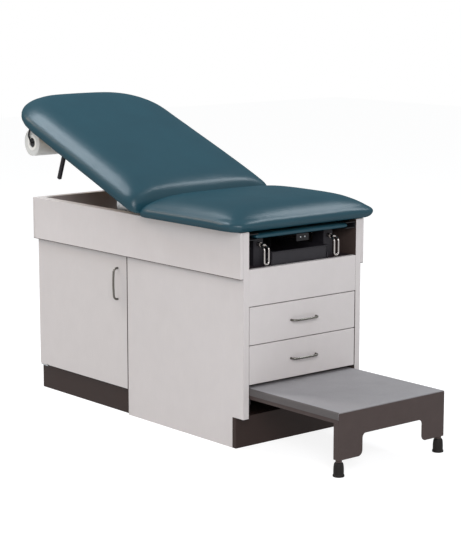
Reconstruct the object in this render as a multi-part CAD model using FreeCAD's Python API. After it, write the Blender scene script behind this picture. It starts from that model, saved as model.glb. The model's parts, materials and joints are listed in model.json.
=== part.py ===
import FreeCAD
import Part
import math
import os
from FreeCAD import Vector

# Examination table, in millimetres. +Z is up, +X points to the foot end, the door is on the -Y side.
# The origin is on the floor under the middle of the overall length, with the step pulled out
# and the backrest raised.

# Clearances, and small values shared by the shapes
RUN_CLEARANCE = 0.3
PIN_CLEARANCE = 0.05
CUT_OVERLAP = 1.0
ROUND_END_FLAT = 1.0
WIRE_BEND_STEP = 45.0
SAME_POINT = 1e-6

# Cabinet
FRONT_X = 474.5
CABINET_LENGTH = 1255.0
CABINET_TOP = 768.5
OPENING_WIDTH = 508.0
SIDE_THICKNESS = 25.0
APRON_THICKNESS = 13.0
APRON_HEIGHT = 163.5
BOARD_THICKNESS = 19.0
TOE_HEIGHT = 111.0
TOE_BOARD_SETBACK = 40.0
TOE_BOARD_GAP = 1.0
SIDE_TOE_THICKNESS = 12.0
STRUT_SLOT_WIDTH = 60.0
STRUT_SLOT_DEPTH = 60.0

# Front of the cabinet, from the step slot upwards
STEP_SLOT_TOP = 230.0
LOWER_FRONT_HEIGHT = 140.0
UPPER_FRONT_HEIGHT = 136.0
FASCIA_HEIGHT = 131.0
FRONT_REVEAL = 3.0
FRONT_SIDE_GAP = 3.0

# Door on the -Y side
DOOR_WIDTH = 585.0
DOOR_GAP = 3.0
DOOR_BACK_GAP = 2.0
DOOR_EDGE_ROUND = 10.0
DOOR_HEAD_INSET = 2.0
DOOR_PIN_RADIUS = 3.0
DOOR_PIN_LENGTH = 14.0
DOOR_BRACKET_LENGTH = 46.0
DOOR_BRACKET_THICKNESS = 3.0
PARTITION_LAP = 6.0
CATCH_SIZE = 22.0
CATCH_HEIGHT = 40.0
CATCH_DROP = 30.0

# Wire pulls
PULL_SPAN = 118.0
PULL_STANDOFF = 28.0
PULL_WIRE_RADIUS = 4.0
PULL_BEND_RADIUS = 15.0
PULL_BOW = 4.0
DOOR_PULL_EDGE = 58.0
DOOR_PULL_TOP = 108.0

# Drawers
DRAWER_DEPTH = 456.0
DRAWER_WALL = 12.0
DRAWER_BOTTOM = 6.0
DRAWER_SIDE_HEIGHT = 98.0
DRAWER_LIFT = 9.0
SLIDE_SPACE = 13.0
SLIDE_HEIGHT = 36.0
SLIDE_METAL = 1.5
SLIDE_HOLD = 60.0
SLIDE_SETBACK = 24.0
DRAWER_TRAVEL = 380.0

# Compartment under the seat
COMPARTMENT_BOARD = 18.0
CROSS_RAIL_HEIGHT = 119.0
LEG_REST_WIDTH = 436.0
LEG_REST_HOLD = 80.0
LEG_REST_THICKNESS = 16.0
LEG_REST_DROP = 12.5
LEG_REST_SETBACK = 2.0
LEG_REST_EDGE = 5.0
LEG_REST_TRAVEL = 400.0
RAIL_METAL = 3.0
RAIL_LAP = 10.0
RAIL_SETBACK = 4.0
RAIL_LENGTH = 475.0
TAB_WIDTH = 58.0
TAB_HEIGHT = 26.0
TAB_FOOT = 22.0
TAB_THICKNESS = 4.0
PAN_WIDTH = 270.0
PAN_HOLD = 66.0
PAN_HEIGHT = 48.0
PAN_WALL = 3.0
PAN_CORNER = 14.0
PAN_RIM = 5.0
PAN_SETBACK = 14.0
PAN_TRAVEL = 250.0
GUIDE_THICKNESS = 5.0
GUIDE_HEIGHT = 20.0
GUIDE_LENGTH = 300.0

# Stirrups
STIRRUP_Y = 166.0
STIRRUP_PIN_HEIGHT = 75.0
STIRRUP_PIN_SETBACK = 26.0
ARM_RADIUS = 8.0
ARM_HOLD = 90.0
ARM_TRAVEL = 320.0
ARM_TONGUE_LENGTH = 14.0
ARM_TONGUE_WIDTH = 10.0
ARM_TONGUE_RADIUS = 6.0
LOOP_WIRE_RADIUS = 3.6
LOOP_SPREAD = 20.0
LOOP_FORWARD = 16.0
LOOP_SHOULDER = 12.0
LOOP_DROP = 66.0
LOOP_BEND = 9.0
LOOP_END_BEND = 4.4
LOOP_END_GAP = 2.0
BLOCK_LENGTH = 58.0
BLOCK_WIDTH = 44.0
BLOCK_TOP_WALL = 12.0
BLOCK_EDGE = 6.0

# Step
STEP_STANDOFF = 8.0
STEP_TOP = 216.0
STEP_WIDTH = 502.0
STEP_METAL = 2.5
STEP_INSIDE = 62.0
STEP_TRAVEL = 443.0
STEP_SKIRT = 35.0
STEP_HEM = 26.0
STEP_PLATE_BOTTOM = 57.0
STEP_BAND = 83.0
STEP_LEG_WIDTH = 110.0
STEP_ARCH_RADIUS = 15.0
STEP_LEG_RADIUS = 20.0
STEP_FLANGE = 26.0
MAT_INSET = 1.0
MAT_THICKNESS = 14.0
MAT_PROUD = 3.0
MAT_CORNER = 3.0
LEG_TUBE_RADIUS = 11.0
LEG_TUBE_WALL = 1.5
LEG_TUBE_START = 12.0
TIP_HEIGHT = 50.0
TIP_BASE_RADIUS = 20.0
TIP_NECK_RADIUS = 14.5
TIP_RIM_HEIGHT = 8.0
STEP_RAIL_HEIGHT = 30.0
STEP_RAIL_DEPTH = 14.0
STEP_RAIL_METAL = 2.0
STEP_RAIL_SETBACK = 20.0
STEP_RAIL_LENGTH = 505.0
GLIDE_LENGTH = 40.0
GLIDE_NECK = 12.0

# Pads
PAD_WIDTH = 686.0
SEAT_THICKNESS = 91.0
SEAT_CROWN = 38.0
BACKREST_THICKNESS = 99.0
BACKREST_CROWN = 30.0
PAD_TUCK = 12.0
PAD_TUCK_HEIGHT = 17.0
PAD_ROLL = 40.0
PAD_CROWN_RUN = 150.0
PAD_TUCK_DEGREES = (0, 45, 90)
PAD_ROLL_DEGREES = (32, 66)
PAD_CROWN_SHARES = (0.12, 0.38, 1.0)
PAD_TIGHT_CORNER = 16.0
PAD_HINGE_GAP = 6.0
PAD_HINGE_LEAN = 0.42
PAD_HINGE_ROLL = 46.0
PAD_HINGE_CORNER = 34.0
PAD_LIFT = 0.3
SEAT_OVERHANG = 30.0
SEAT_CORNER = 62.0
HEAD_CORNER = 220.0
PAD_BOARD_THICKNESS = 15.0
PAD_BOARD_WIDTH = 596.0
PAD_BOARD_INSET = 42.0
PAD_BOARD_CORNER = 40.0

# Backrest hinge, arms and strut
HINGE_SETBACK = 545.0
HINGE_DROP = 4.0
BACKREST_REST_GAP = 0.5
BACKREST_LENGTH = 937.5
BACKREST_ANGLE = 21.1
HINGE_PIN_RADIUS = 6.0
HINGE_BOSS_RADIUS = 13.0
HINGE_PLATE = 5.0
HINGE_PLATE_SIZE = 64.0
HINGE_PLATE_CORNER = 8.0
HINGE_PIN_PROUD = 2.0
HINGE_POCKET_GAP = 0.5
ARM_PLATE = 6.0
ARM_PLATE_GAP = 11.0
ARM_FLANGE_WIDTH = 28.0
ARM_FLANGE_END = 252.0
ARM_HEEL_RADIUS = 4.0
STRUT_RADIUS_ARM = 215.0
STRUT_DROP_ANGLE = 18.0
STRUT_SPREAD_ANGLE = 75.0
SHAFT_RADIUS = 6.0
SHAFT_BOSS_RADIUS = 18.0
STRUT_TUBE_RADIUS = 14.0
STRUT_TUBE_START = 16.0
STRUT_TUBE_END = 238.0
STRUT_CAP = 10.0
STRUT_ROD_RADIUS = 5.0
STRUT_ROD_LENGTH = 195.0
STRUT_EYE_RADIUS = 11.0
STRUT_EYE_WIDTH = 16.0
STRUT_NECK_RADIUS = 6.5
ANCHOR_PIN_RADIUS = 4.0
ANCHOR_EAR = 5.0
ANCHOR_BASE = 50.0
ANCHOR_GAP = 1.0

# Under the backrest
ROLL_RADIUS = 53.0
ROLL_LENGTH = 534.0
ROLL_FROM_HINGE = 786.0
ROLL_BELOW_BOARD = 78.0
CORE_RADIUS = 30.5
CORE_BORE_RADIUS = 19.5
HOLDER_METAL = 3.0
HOLDER_WIDTH = 30.0
HOLDER_FOOT = 34.0
HOLDER_END_GAP = 3.0
HUB_LENGTH = 26.0
SPINDLE_RADIUS = 5.0
LEVER_FROM_HINGE = 604.0
LEVER_FROM_EDGE = 60.0
LEVER_LENGTH = 150.0
LEVER_PIVOT_DROP = 16.0
LEVER_SHANK_RADIUS = 5.0
LEVER_SHANK_BURY = 2.0
LEVER_GRIP_RADIUS = 9.0
LEVER_GRIP_LENGTH = 104.0
LEVER_GRIP_BEVEL = 3.0
LEVER_EYE_RADIUS = 8.0
LEVER_EYE_WIDTH = 10.0
LEVER_PIN_RADIUS = 3.0
LEVER_EAR = 3.0
LEVER_BASE = 34.0

# Derived places
IN_Y = OPENING_WIDTH / 2
OUT_Y = IN_Y + SIDE_THICKNESS
APRON_Y = OUT_Y + APRON_THICKNESS
APRON_BOTTOM = CABINET_TOP - APRON_HEIGHT
REAR_X = FRONT_X - CABINET_LENGTH
REAR_INNER_X = REAR_X + BOARD_THICKNESS
FRONT_BACK_X = FRONT_X - BOARD_THICKNESS
TOE_FACE_X = FRONT_X - TOE_BOARD_SETBACK
TOE_BACK_X = TOE_FACE_X - BOARD_THICKNESS
DOOR_REAR_X = REAR_X + DOOR_HEAD_INSET
DOOR_FRONT_X = DOOR_REAR_X + DOOR_WIDTH
FIXED_PANEL_X = DOOR_FRONT_X + DOOR_GAP
PARTITION_FRONT_X = FIXED_PANEL_X + PARTITION_LAP
PARTITION_BACK_X = PARTITION_FRONT_X - BOARD_THICKNESS
BASE_TOP = TOE_HEIGHT
BASE_BOTTOM = BASE_TOP - COMPARTMENT_BOARD
DOOR_BOTTOM = BASE_BOTTOM + DOOR_GAP + DOOR_BRACKET_THICKNESS
DOOR_TOP = APRON_BOTTOM - DOOR_GAP
DOOR_BACK_Y = -(IN_Y + DOOR_BACK_GAP)
DOOR_PIN_X = DOOR_REAR_X + DOOR_EDGE_ROUND
DOOR_PIN_Y = DOOR_BACK_Y - DOOR_EDGE_ROUND
WELL_TOP = APRON_BOTTOM + DOOR_GAP
WELL_BOTTOM = WELL_TOP - COMPARTMENT_BOARD
LOWER_FRONT_TOP = STEP_SLOT_TOP + LOWER_FRONT_HEIGHT
UPPER_FRONT_TOP = LOWER_FRONT_TOP + UPPER_FRONT_HEIGHT
COMPARTMENT_FLOOR = UPPER_FRONT_TOP + FASCIA_HEIGHT
COMPARTMENT_UNDER = COMPARTMENT_FLOOR - COMPARTMENT_BOARD
BOX_Y = IN_Y - SLIDE_SPACE
SLIDE_LENGTH = DRAWER_TRAVEL + SLIDE_HOLD
LEG_REST_LENGTH = LEG_REST_TRAVEL + LEG_REST_HOLD
PAN_LENGTH = PAN_TRAVEL + PAN_HOLD
ARM_LENGTH = ARM_TRAVEL + ARM_HOLD

HINGE_X = FRONT_X - HINGE_SETBACK
HINGE_Z = CABINET_TOP + BACKREST_REST_GAP - HINGE_DROP
BACKREST_UNDER = HINGE_Z + HINGE_DROP
ARM_OUT_Y = IN_Y - HINGE_PLATE - ARM_PLATE_GAP
ARM_IN_Y = ARM_OUT_Y - ARM_PLATE
STRUT_DROP = math.radians(STRUT_DROP_ANGLE)
STRUT_ANCHOR = math.radians(STRUT_DROP_ANGLE + STRUT_SPREAD_ANGLE)
SHAFT_X = HINGE_X - STRUT_RADIUS_ARM * math.cos(STRUT_DROP)
SHAFT_Z = HINGE_Z - STRUT_RADIUS_ARM * math.sin(STRUT_DROP)
ANCHOR_X = HINGE_X - STRUT_RADIUS_ARM * math.cos(STRUT_ANCHOR)
ANCHOR_Z = HINGE_Z - STRUT_RADIUS_ARM * math.sin(STRUT_ANCHOR)
CROSS_RAIL_X = ANCHOR_X + STRUT_EYE_RADIUS + ANCHOR_GAP + ANCHOR_EAR
ROLL_X = HINGE_X - ROLL_FROM_HINGE
ROLL_Z = BACKREST_UNDER - ROLL_BELOW_BOARD
LEVER_X = HINGE_X - LEVER_FROM_HINGE
LEVER_Y = LEVER_FROM_EDGE - PAD_BOARD_WIDTH / 2
LEVER_PIVOT_Z = BACKREST_UNDER - LEVER_PIVOT_DROP
STIRRUP_PIN_X = FRONT_X - STIRRUP_PIN_SETBACK
STIRRUP_PIN_Z = COMPARTMENT_FLOOR + STIRRUP_PIN_HEIGHT
STEP_FRONT_X = FRONT_X + STEP_STANDOFF + STEP_TRAVEL
STEP_REAR_X = FRONT_X - STEP_INSIDE
STEP_Y = STEP_WIDTH / 2
STEP_SKIRT_BOTTOM = STEP_TOP - STEP_SKIRT
STEP_TRAY_TOP = STEP_TOP + MAT_PROUD - MAT_THICKNESS
LEG_REST_TOP = CABINET_TOP - LEG_REST_DROP
LEG_REST_BOTTOM = LEG_REST_TOP - LEG_REST_THICKNESS

Y_AXIS = Vector(0, 1, 0)
Z_AXIS = Vector(0, 0, 1)
SEAM_SIDE = Vector(0.3, 0.5, 0.8)


# Shape helpers
def box(x0, x1, y0, y1, z0, z1):
    return Part.makeBox(x1 - x0, y1 - y0, z1 - z0, Vector(x0, y0, z0))


def rod(start, end, radius):
    return Part.makeCylinder(radius, (end - start).Length, start, end - start)


def mirrored(shape):
    return shape.mirror(Vector(0, 0, 0), Y_AXIS)


def pair(shape):
    """The shape and its mirror image across the table's middle plane."""
    return Part.makeCompound([shape, mirrored(shape)])


def in_xy(z):
    return lambda u, v: Vector(u, v, z)


def in_xz(y):
    return lambda u, v: Vector(u, y, v)


def in_yz(x):
    return lambda u, v: Vector(x, u, v)


def corner_arc(before, corner, after, radius):
    """Tangent arc of the given radius at a corner, as its start, middle and end."""
    back = (before - corner).normalize()
    ahead = (after - corner).normalize()
    half = back.getAngle(ahead) / 2
    reach = radius / math.tan(half)
    inward = (back + ahead).normalize()
    middle = corner + inward * (radius / math.sin(half) - radius)
    return corner + back * reach, middle, corner + ahead * reach


def rounded_path(points, radii, closed):
    """Lines through the points, with a tangent arc at each point that has a radius."""
    count = len(points)
    edges = []
    previous = None
    first = None
    for i, point in enumerate(points):
        if radii[i] > 0:
            start, middle, end = corner_arc(points[i - 1], point, points[(i + 1) % count], radii[i])
        else:
            start, middle, end = point, None, point
        if previous is not None and (start - previous).Length > SAME_POINT:
            edges.append(Part.makeLine(previous, start))
        if middle is not None:
            edges.append(Part.Arc(start, middle, end).toShape())
        first = first or start
        previous = end
    if closed and (first - previous).Length > SAME_POINT:
        edges.append(Part.makeLine(previous, first))
    return Part.Wire(edges)


def plate(corners, place, thickness):
    """Flat piece from (u, v, radius) corners, extruded along the thickness vector."""
    points = [place(u, v) for u, v, _ in corners]
    wire = rounded_path(points, [r for _, _, r in corners], True)
    return Part.Face(wire).extrude(thickness)


def path_points(path):
    """Points along a path: the ends of each line, and steps along each arc."""
    points = []
    for edge in path.OrderedEdges:
        first, last = edge.FirstParameter, edge.LastParameter
        steps = 1
        if isinstance(edge.Curve, Part.Circle):
            steps = math.ceil((last - first) / math.radians(WIRE_BEND_STEP))
        for i in range(0 if not points else 1, steps + 1):
            points.append(edge.valueAt(first + (last - first) * i / steps))
    return points


def stretched(shape, centre, way, factor):
    """A copy scaled by the factor along one direction, about the centre."""
    grow = [[way[i] * way[j] * (factor - 1) + (i == j) for j in range(3)] for i in range(3)]
    shift = [centre[i] - sum(grow[i][j] * centre[j] for j in range(3)) for i in range(3)]
    rows = [value for i in range(3) for value in grow[i] + [shift[i]]]
    return shape.transformGeometry(FreeCAD.Matrix(*rows, 0, 0, 0, 1))


def wire_sweep(path, radius):
    """Round bar along a path, in straight lengths that are mitred where they meet."""
    points = path_points(path)
    ways = [(after - before).normalize() for before, after in zip(points, points[1:])]
    side = ways[0].cross(SEAM_SIDE).normalize()
    sections = []
    for i, point in enumerate(points):
        before = ways[max(i - 1, 0)]
        after = ways[min(i, len(ways) - 1)]
        mitre = (before + after).normalize()
        side = FreeCAD.Rotation(before, mitre).multVec(side)
        circle = Part.Circle(point, mitre, radius)
        circle.XAxis = side
        bend = after - before
        across = bend.normalize() if bend.Length > SAME_POINT else side
        section = stretched(circle.toShape(), point, across, 1 / mitre.dot(after))
        sections.append(Part.Wire(section))
        side = FreeCAD.Rotation(mitre, after).multVec(side)
    return Part.makeLoft(sections, True, True)


def turned(shape, degrees, x, z):
    """A copy turned about the Y direction through (x, z)."""
    copy = shape.copy()
    copy.rotate(Vector(x, 0, z), Y_AXIS, degrees)
    return copy


def raised(shape):
    """A backrest piece, drawn flat, turned up to the resting angle."""
    return turned(shape, BACKREST_ANGLE, HINGE_X, HINGE_Z)


# Cabinet boards
def door_side_panel():
    outline = [
        (FRONT_X, TOE_HEIGHT, 0), (FRONT_X, CABINET_TOP, 0), (REAR_X, CABINET_TOP, 0),
        (REAR_X, APRON_BOTTOM, 0), (FIXED_PANEL_X, APRON_BOTTOM, 0), (FIXED_PANEL_X, 0, 0),
        (TOE_BACK_X, 0, 0), (TOE_BACK_X, TOE_HEIGHT, 0),
    ]
    panel = plate(outline, in_xz(-OUT_Y), Y_AXIS * SIDE_THICKNESS)
    socket = rod(
        Vector(DOOR_PIN_X, DOOR_PIN_Y, APRON_BOTTOM - CUT_OVERLAP),
        Vector(DOOR_PIN_X, DOOR_PIN_Y, DOOR_TOP + DOOR_PIN_LENGTH + CUT_OVERLAP),
        DOOR_PIN_RADIUS + PIN_CLEARANCE,
    )
    return panel.cut(socket)


def plain_side_panel():
    outline = [
        (FRONT_X, TOE_HEIGHT, 0), (FRONT_X, CABINET_TOP, 0), (REAR_X, CABINET_TOP, 0),
        (REAR_X, 0, 0), (TOE_BACK_X, 0, 0), (TOE_BACK_X, TOE_HEIGHT, 0),
    ]
    return plate(outline, in_xz(IN_Y), Y_AXIS * SIDE_THICKNESS)


def well_floor():
    board = box(REAR_INNER_X, PARTITION_FRONT_X, -IN_Y, IN_Y, WELL_BOTTOM, WELL_TOP)
    slot_y = STRUT_SLOT_WIDTH / 2
    slot_x = PARTITION_FRONT_X - STRUT_SLOT_DEPTH
    slot = box(
        slot_x, PARTITION_FRONT_X + CUT_OVERLAP, -slot_y, slot_y,
        WELL_BOTTOM - CUT_OVERLAP, WELL_TOP + CUT_OVERLAP,
    )
    return board.cut(slot)


def cabinet_boards():
    side_apron = box(REAR_X, FRONT_X, OUT_Y, APRON_Y, APRON_BOTTOM, CABINET_TOP)
    return {
        "door_side_panel": door_side_panel(),
        "plain_side_panel": plain_side_panel(),
        "head_panel": box(REAR_X, REAR_INNER_X, -IN_Y, IN_Y, 0, CABINET_TOP),
        "apron_door_side": mirrored(side_apron),
        "apron_plain_side": side_apron,
        "apron_head_end": box(
            REAR_X - APRON_THICKNESS, REAR_X, -APRON_Y, APRON_Y, APRON_BOTTOM, CABINET_TOP
        ),
        "partition": box(PARTITION_BACK_X, PARTITION_FRONT_X, -IN_Y, IN_Y, BASE_TOP, WELL_BOTTOM),
        "base_panel": box(REAR_INNER_X, TOE_BACK_X, -IN_Y, IN_Y, BASE_BOTTOM, BASE_TOP),
        "toe_kick_front": box(
            TOE_BACK_X, TOE_FACE_X, -OUT_Y, OUT_Y, 0, TOE_HEIGHT - TOE_BOARD_GAP
        ),
        "toe_kick_door_side": box(
            REAR_X, FIXED_PANEL_X, -IN_Y - SIDE_TOE_THICKNESS, -IN_Y, 0, BASE_BOTTOM
        ),
        "well_floor": well_floor(),
        "front_fascia": box(
            FRONT_BACK_X, FRONT_X, -IN_Y, IN_Y, UPPER_FRONT_TOP + FRONT_REVEAL / 2, COMPARTMENT_FLOOR
        ),
        "compartment_floor": box(
            CROSS_RAIL_X, FRONT_BACK_X, -IN_Y, IN_Y, COMPARTMENT_UNDER, COMPARTMENT_FLOOR
        ),
        "cross_rail": box(
            CROSS_RAIL_X, CROSS_RAIL_X + BOARD_THICKNESS, -IN_Y, IN_Y,
            COMPARTMENT_UNDER - CROSS_RAIL_HEIGHT, COMPARTMENT_UNDER,
        ),
    }


# Wire pull, drawn standing out along +Z from the origin with its bar along X
def wire_pull():
    half = PULL_SPAN / 2
    high = PULL_STANDOFF - PULL_WIRE_RADIUS
    side = high - PULL_BOW
    points = [
        Vector(-half, 0, 0), Vector(-half, 0, side), Vector(0, 0, high),
        Vector(half, 0, side), Vector(half, 0, 0),
    ]
    bow_radius = half * half / (2 * PULL_BOW)
    path = rounded_path(points, [0, PULL_BEND_RADIUS, bow_radius, PULL_BEND_RADIUS, 0], False)
    return wire_sweep(path, PULL_WIRE_RADIUS)


def front_pull(z):
    """Pull lying across a drawer front, standing out towards +X."""
    pull = wire_pull()
    pull.rotate(Vector(0, 0, 0), Y_AXIS, 90)
    pull.rotate(Vector(0, 0, 0), Vector(1, 0, 0), 90)
    pull.translate(Vector(FRONT_X, 0, z))
    return pull


# Door with its pivot
def door_panel():
    outline = [
        (DOOR_REAR_X, -OUT_Y, 0), (DOOR_FRONT_X, -OUT_Y, 0), (DOOR_FRONT_X, DOOR_BACK_Y, 0),
        (DOOR_REAR_X, DOOR_BACK_Y, DOOR_EDGE_ROUND),
    ]
    panel = plate(outline, in_xy(DOOR_BOTTOM), Z_AXIS * (DOOR_TOP - DOOR_BOTTOM))
    for pin in door_pin_list():
        panel = panel.cut(pin)
    return panel


def door_pin_list():
    pins = []
    for z, way in ((DOOR_TOP, 1), (DOOR_BOTTOM, -1)):
        inner = Vector(DOOR_PIN_X, DOOR_PIN_Y, z - way * DOOR_PIN_LENGTH)
        out = DOOR_PIN_LENGTH if way > 0 else DOOR_BRACKET_THICKNESS + DOOR_GAP - RUN_CLEARANCE
        pins.append(rod(inner, Vector(DOOR_PIN_X, DOOR_PIN_Y, z + way * out), DOOR_PIN_RADIUS))
    return pins


def door_pull():
    pull = wire_pull()
    pull.rotate(Vector(0, 0, 0), Y_AXIS, 90)
    pull.rotate(Vector(0, 0, 0), Z_AXIS, -90)
    pull.translate(Vector(DOOR_FRONT_X - DOOR_PULL_EDGE, -OUT_Y, DOOR_TOP - DOOR_PULL_TOP))
    return pull


def door_pivot_bracket():
    """Plate on top of the toe-kick under the door's corner, holding the lower pin."""
    top = DOOR_BOTTOM - DOOR_GAP
    slab = box(
        REAR_X, REAR_X + DOOR_BRACKET_LENGTH, DOOR_PIN_Y - DOOR_EDGE_ROUND, -IN_Y,
        top - DOOR_BRACKET_THICKNESS, top,
    )
    hole = rod(
        Vector(DOOR_PIN_X, DOOR_PIN_Y, top - DOOR_BRACKET_THICKNESS - CUT_OVERLAP),
        Vector(DOOR_PIN_X, DOOR_PIN_Y, top + CUT_OVERLAP),
        DOOR_PIN_RADIUS + PIN_CLEARANCE,
    )
    return slab.cut(hole)


def door_catch():
    top = WELL_BOTTOM - CATCH_DROP
    return box(
        PARTITION_BACK_X - CATCH_SIZE, PARTITION_BACK_X, -IN_Y, -IN_Y + CATCH_SIZE,
        top - CATCH_HEIGHT, top,
    )


def door_pieces():
    return {
        "door_panel": door_panel(),
        "door_pull": door_pull(),
        "door_pivot_pins": Part.makeCompound(door_pin_list()),
        "door_pivot_bracket": door_pivot_bracket(),
        "door_catch": door_catch(),
    }


# Drawers
def drawer_front(bottom, height):
    side = IN_Y - FRONT_SIDE_GAP
    low = bottom + FRONT_REVEAL / 2
    return box(FRONT_BACK_X, FRONT_X, -side, side, low, bottom + height - FRONT_REVEAL / 2)


def drawer_box(bottom):
    low = bottom + DRAWER_LIFT
    back = FRONT_BACK_X - DRAWER_DEPTH
    outer = box(back, FRONT_BACK_X, -BOX_Y, BOX_Y, low, low + DRAWER_SIDE_HEIGHT)
    inside_y = BOX_Y - DRAWER_WALL
    hollow = box(
        back + DRAWER_WALL, FRONT_BACK_X - DRAWER_WALL, -inside_y, inside_y,
        low + DRAWER_BOTTOM, low + DRAWER_SIDE_HEIGHT + CUT_OVERLAP,
    )
    return outer.cut(hollow)


def slide_middle(bottom):
    return bottom + DRAWER_LIFT + DRAWER_SIDE_HEIGHT / 2


def slide_channel(z):
    """Fixed half of a drawer slide on the +Y side, open towards the drawer."""
    high = SLIDE_HEIGHT / 2
    start = FRONT_X - SLIDE_SETBACK
    lip_y = BOX_Y + SLIDE_METAL + RUN_CLEARANCE
    outer = box(start - SLIDE_LENGTH, start, lip_y, IN_Y, z - high, z + high)
    inner = box(
        start - SLIDE_LENGTH - CUT_OVERLAP, start + CUT_OVERLAP, lip_y - CUT_OVERLAP, IN_Y - SLIDE_METAL,
        z - high + SLIDE_METAL, z + high - SLIDE_METAL,
    )
    return outer.cut(inner)


def slide_runner(z):
    """Moving half of a drawer slide on the +Y side, nested in the channel."""
    high = SLIDE_HEIGHT / 2 - SLIDE_METAL - RUN_CLEARANCE
    start = FRONT_X - SLIDE_SETBACK
    far_y = IN_Y - SLIDE_METAL - RUN_CLEARANCE
    outer = box(start - SLIDE_LENGTH, start, BOX_Y, far_y, z - high, z + high)
    inner = box(
        start - SLIDE_LENGTH - CUT_OVERLAP, start + CUT_OVERLAP,
        BOX_Y + SLIDE_METAL, far_y + CUT_OVERLAP,
        z - high + SLIDE_METAL, z + high - SLIDE_METAL,
    )
    return outer.cut(inner)


def drawer_pieces():
    pieces = {}
    channels = []
    for name, bottom, height in (
        ("upper_drawer", LOWER_FRONT_TOP, UPPER_FRONT_HEIGHT),
        ("lower_drawer", STEP_SLOT_TOP, LOWER_FRONT_HEIGHT),
    ):
        middle = slide_middle(bottom)
        pieces[name + "_front"] = drawer_front(bottom, height)
        pieces[name + "_box"] = drawer_box(bottom)
        pieces[name + "_pull"] = front_pull(bottom + height / 2)
        pieces[name + "_runners"] = pair(slide_runner(middle))
        channels += [slide_channel(middle), mirrored(slide_channel(middle))]
    pieces["drawer_slide_channels"] = Part.makeCompound(channels)
    return pieces


# Leg rest, pan and stirrups in the compartment
def leg_rest_panel():
    half = LEG_REST_WIDTH / 2
    front = FRONT_X - LEG_REST_SETBACK
    edge = LEG_REST_EDGE
    outline = [
        (front, LEG_REST_BOTTOM, edge), (front, LEG_REST_TOP, edge),
        (front - LEG_REST_LENGTH, LEG_REST_TOP, 0), (front - LEG_REST_LENGTH, LEG_REST_BOTTOM, 0),
    ]
    return plate(outline, in_xz(-half), Y_AXIS * LEG_REST_WIDTH)


def leg_rest_tab():
    """Finger tab screwed under the leg rest's front edge."""
    front = FRONT_X - LEG_REST_SETBACK - LEG_REST_EDGE
    t = TAB_THICKNESS
    outline = [
        (front, LEG_REST_BOTTOM, 0), (front, LEG_REST_BOTTOM - TAB_HEIGHT, 0),
        (front - t, LEG_REST_BOTTOM - TAB_HEIGHT, 0), (front - t, LEG_REST_BOTTOM - t, t / 2),
        (front - TAB_FOOT, LEG_REST_BOTTOM - t, 0), (front - TAB_FOOT, LEG_REST_BOTTOM, 0),
    ]
    return plate(outline, in_xz(-TAB_WIDTH / 2), Y_AXIS * TAB_WIDTH)


def leg_rest_rail():
    """Channel on the +Y side that the leg rest's edge runs in."""
    inner_y = LEG_REST_WIDTH / 2 - RAIL_LAP
    start = FRONT_X - RAIL_SETBACK
    low = LEG_REST_BOTTOM - RUN_CLEARANCE
    high = LEG_REST_TOP + RUN_CLEARANCE
    outer = box(start - RAIL_LENGTH, start, inner_y, IN_Y, low - RAIL_METAL, high + RAIL_METAL)
    groove = box(
        start - RAIL_LENGTH - CUT_OVERLAP, start + CUT_OVERLAP,
        inner_y - CUT_OVERLAP, IN_Y - RAIL_METAL, low, high,
    )
    return outer.cut(groove)


def rounded_block(x0, x1, half_y, z0, z1, radius):
    corners = [(x0, -half_y, radius), (x1, -half_y, radius), (x1, half_y, radius), (x0, half_y, radius)]
    return plate(corners, in_xy(z0), Z_AXIS * (z1 - z0))


def treatment_pan():
    front = FRONT_X - PAN_SETBACK
    back = front - PAN_LENGTH
    half = PAN_WIDTH / 2
    low = COMPARTMENT_FLOOR + RUN_CLEARANCE
    high = low + PAN_HEIGHT
    body = rounded_block(
        back + PAN_RIM, front - PAN_RIM, half - PAN_RIM, low, high, PAN_CORNER - PAN_RIM
    )
    rim = rounded_block(back, front, half, high - PAN_WALL, high, PAN_CORNER)
    wall = PAN_RIM + PAN_WALL
    hollow = rounded_block(
        back + wall, front - wall, half - wall, low + PAN_WALL, high + CUT_OVERLAP, PAN_CORNER - wall
    )
    return body.fuse(rim).cut(hollow).removeSplitter()


def pan_guide():
    y = PAN_WIDTH / 2 - PAN_RIM + RUN_CLEARANCE
    start = FRONT_X - PAN_SETBACK - PAN_RIM
    return box(
        start - GUIDE_LENGTH, start, y, y + GUIDE_THICKNESS,
        COMPARTMENT_FLOOR, COMPARTMENT_FLOOR + GUIDE_HEIGHT,
    )


def stirrup_arm(y):
    """Sliding arm with a flat tongue, cross-bored for the ends of the heel loop."""
    start = STIRRUP_PIN_X - ARM_TONGUE_LENGTH
    arm = rod(
        Vector(start, y, STIRRUP_PIN_Z), Vector(start - ARM_LENGTH, y, STIRRUP_PIN_Z), ARM_RADIUS
    )
    half = ARM_TONGUE_WIDTH / 2
    tongue = box(
        start - ARM_TONGUE_LENGTH, STIRRUP_PIN_X, y - half, y + half,
        STIRRUP_PIN_Z - ARM_TONGUE_RADIUS, STIRRUP_PIN_Z + ARM_TONGUE_RADIUS,
    )
    left = Vector(STIRRUP_PIN_X, y - half, STIRRUP_PIN_Z)
    right = Vector(STIRRUP_PIN_X, y + half, STIRRUP_PIN_Z)
    nose = rod(left, right, ARM_TONGUE_RADIUS)
    past = Y_AXIS * CUT_OVERLAP
    bore = rod(left - past, right + past, LOOP_WIRE_RADIUS + PIN_CLEARANCE)
    return arm.fuse([tongue, nose]).cut(bore).removeSplitter()


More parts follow.
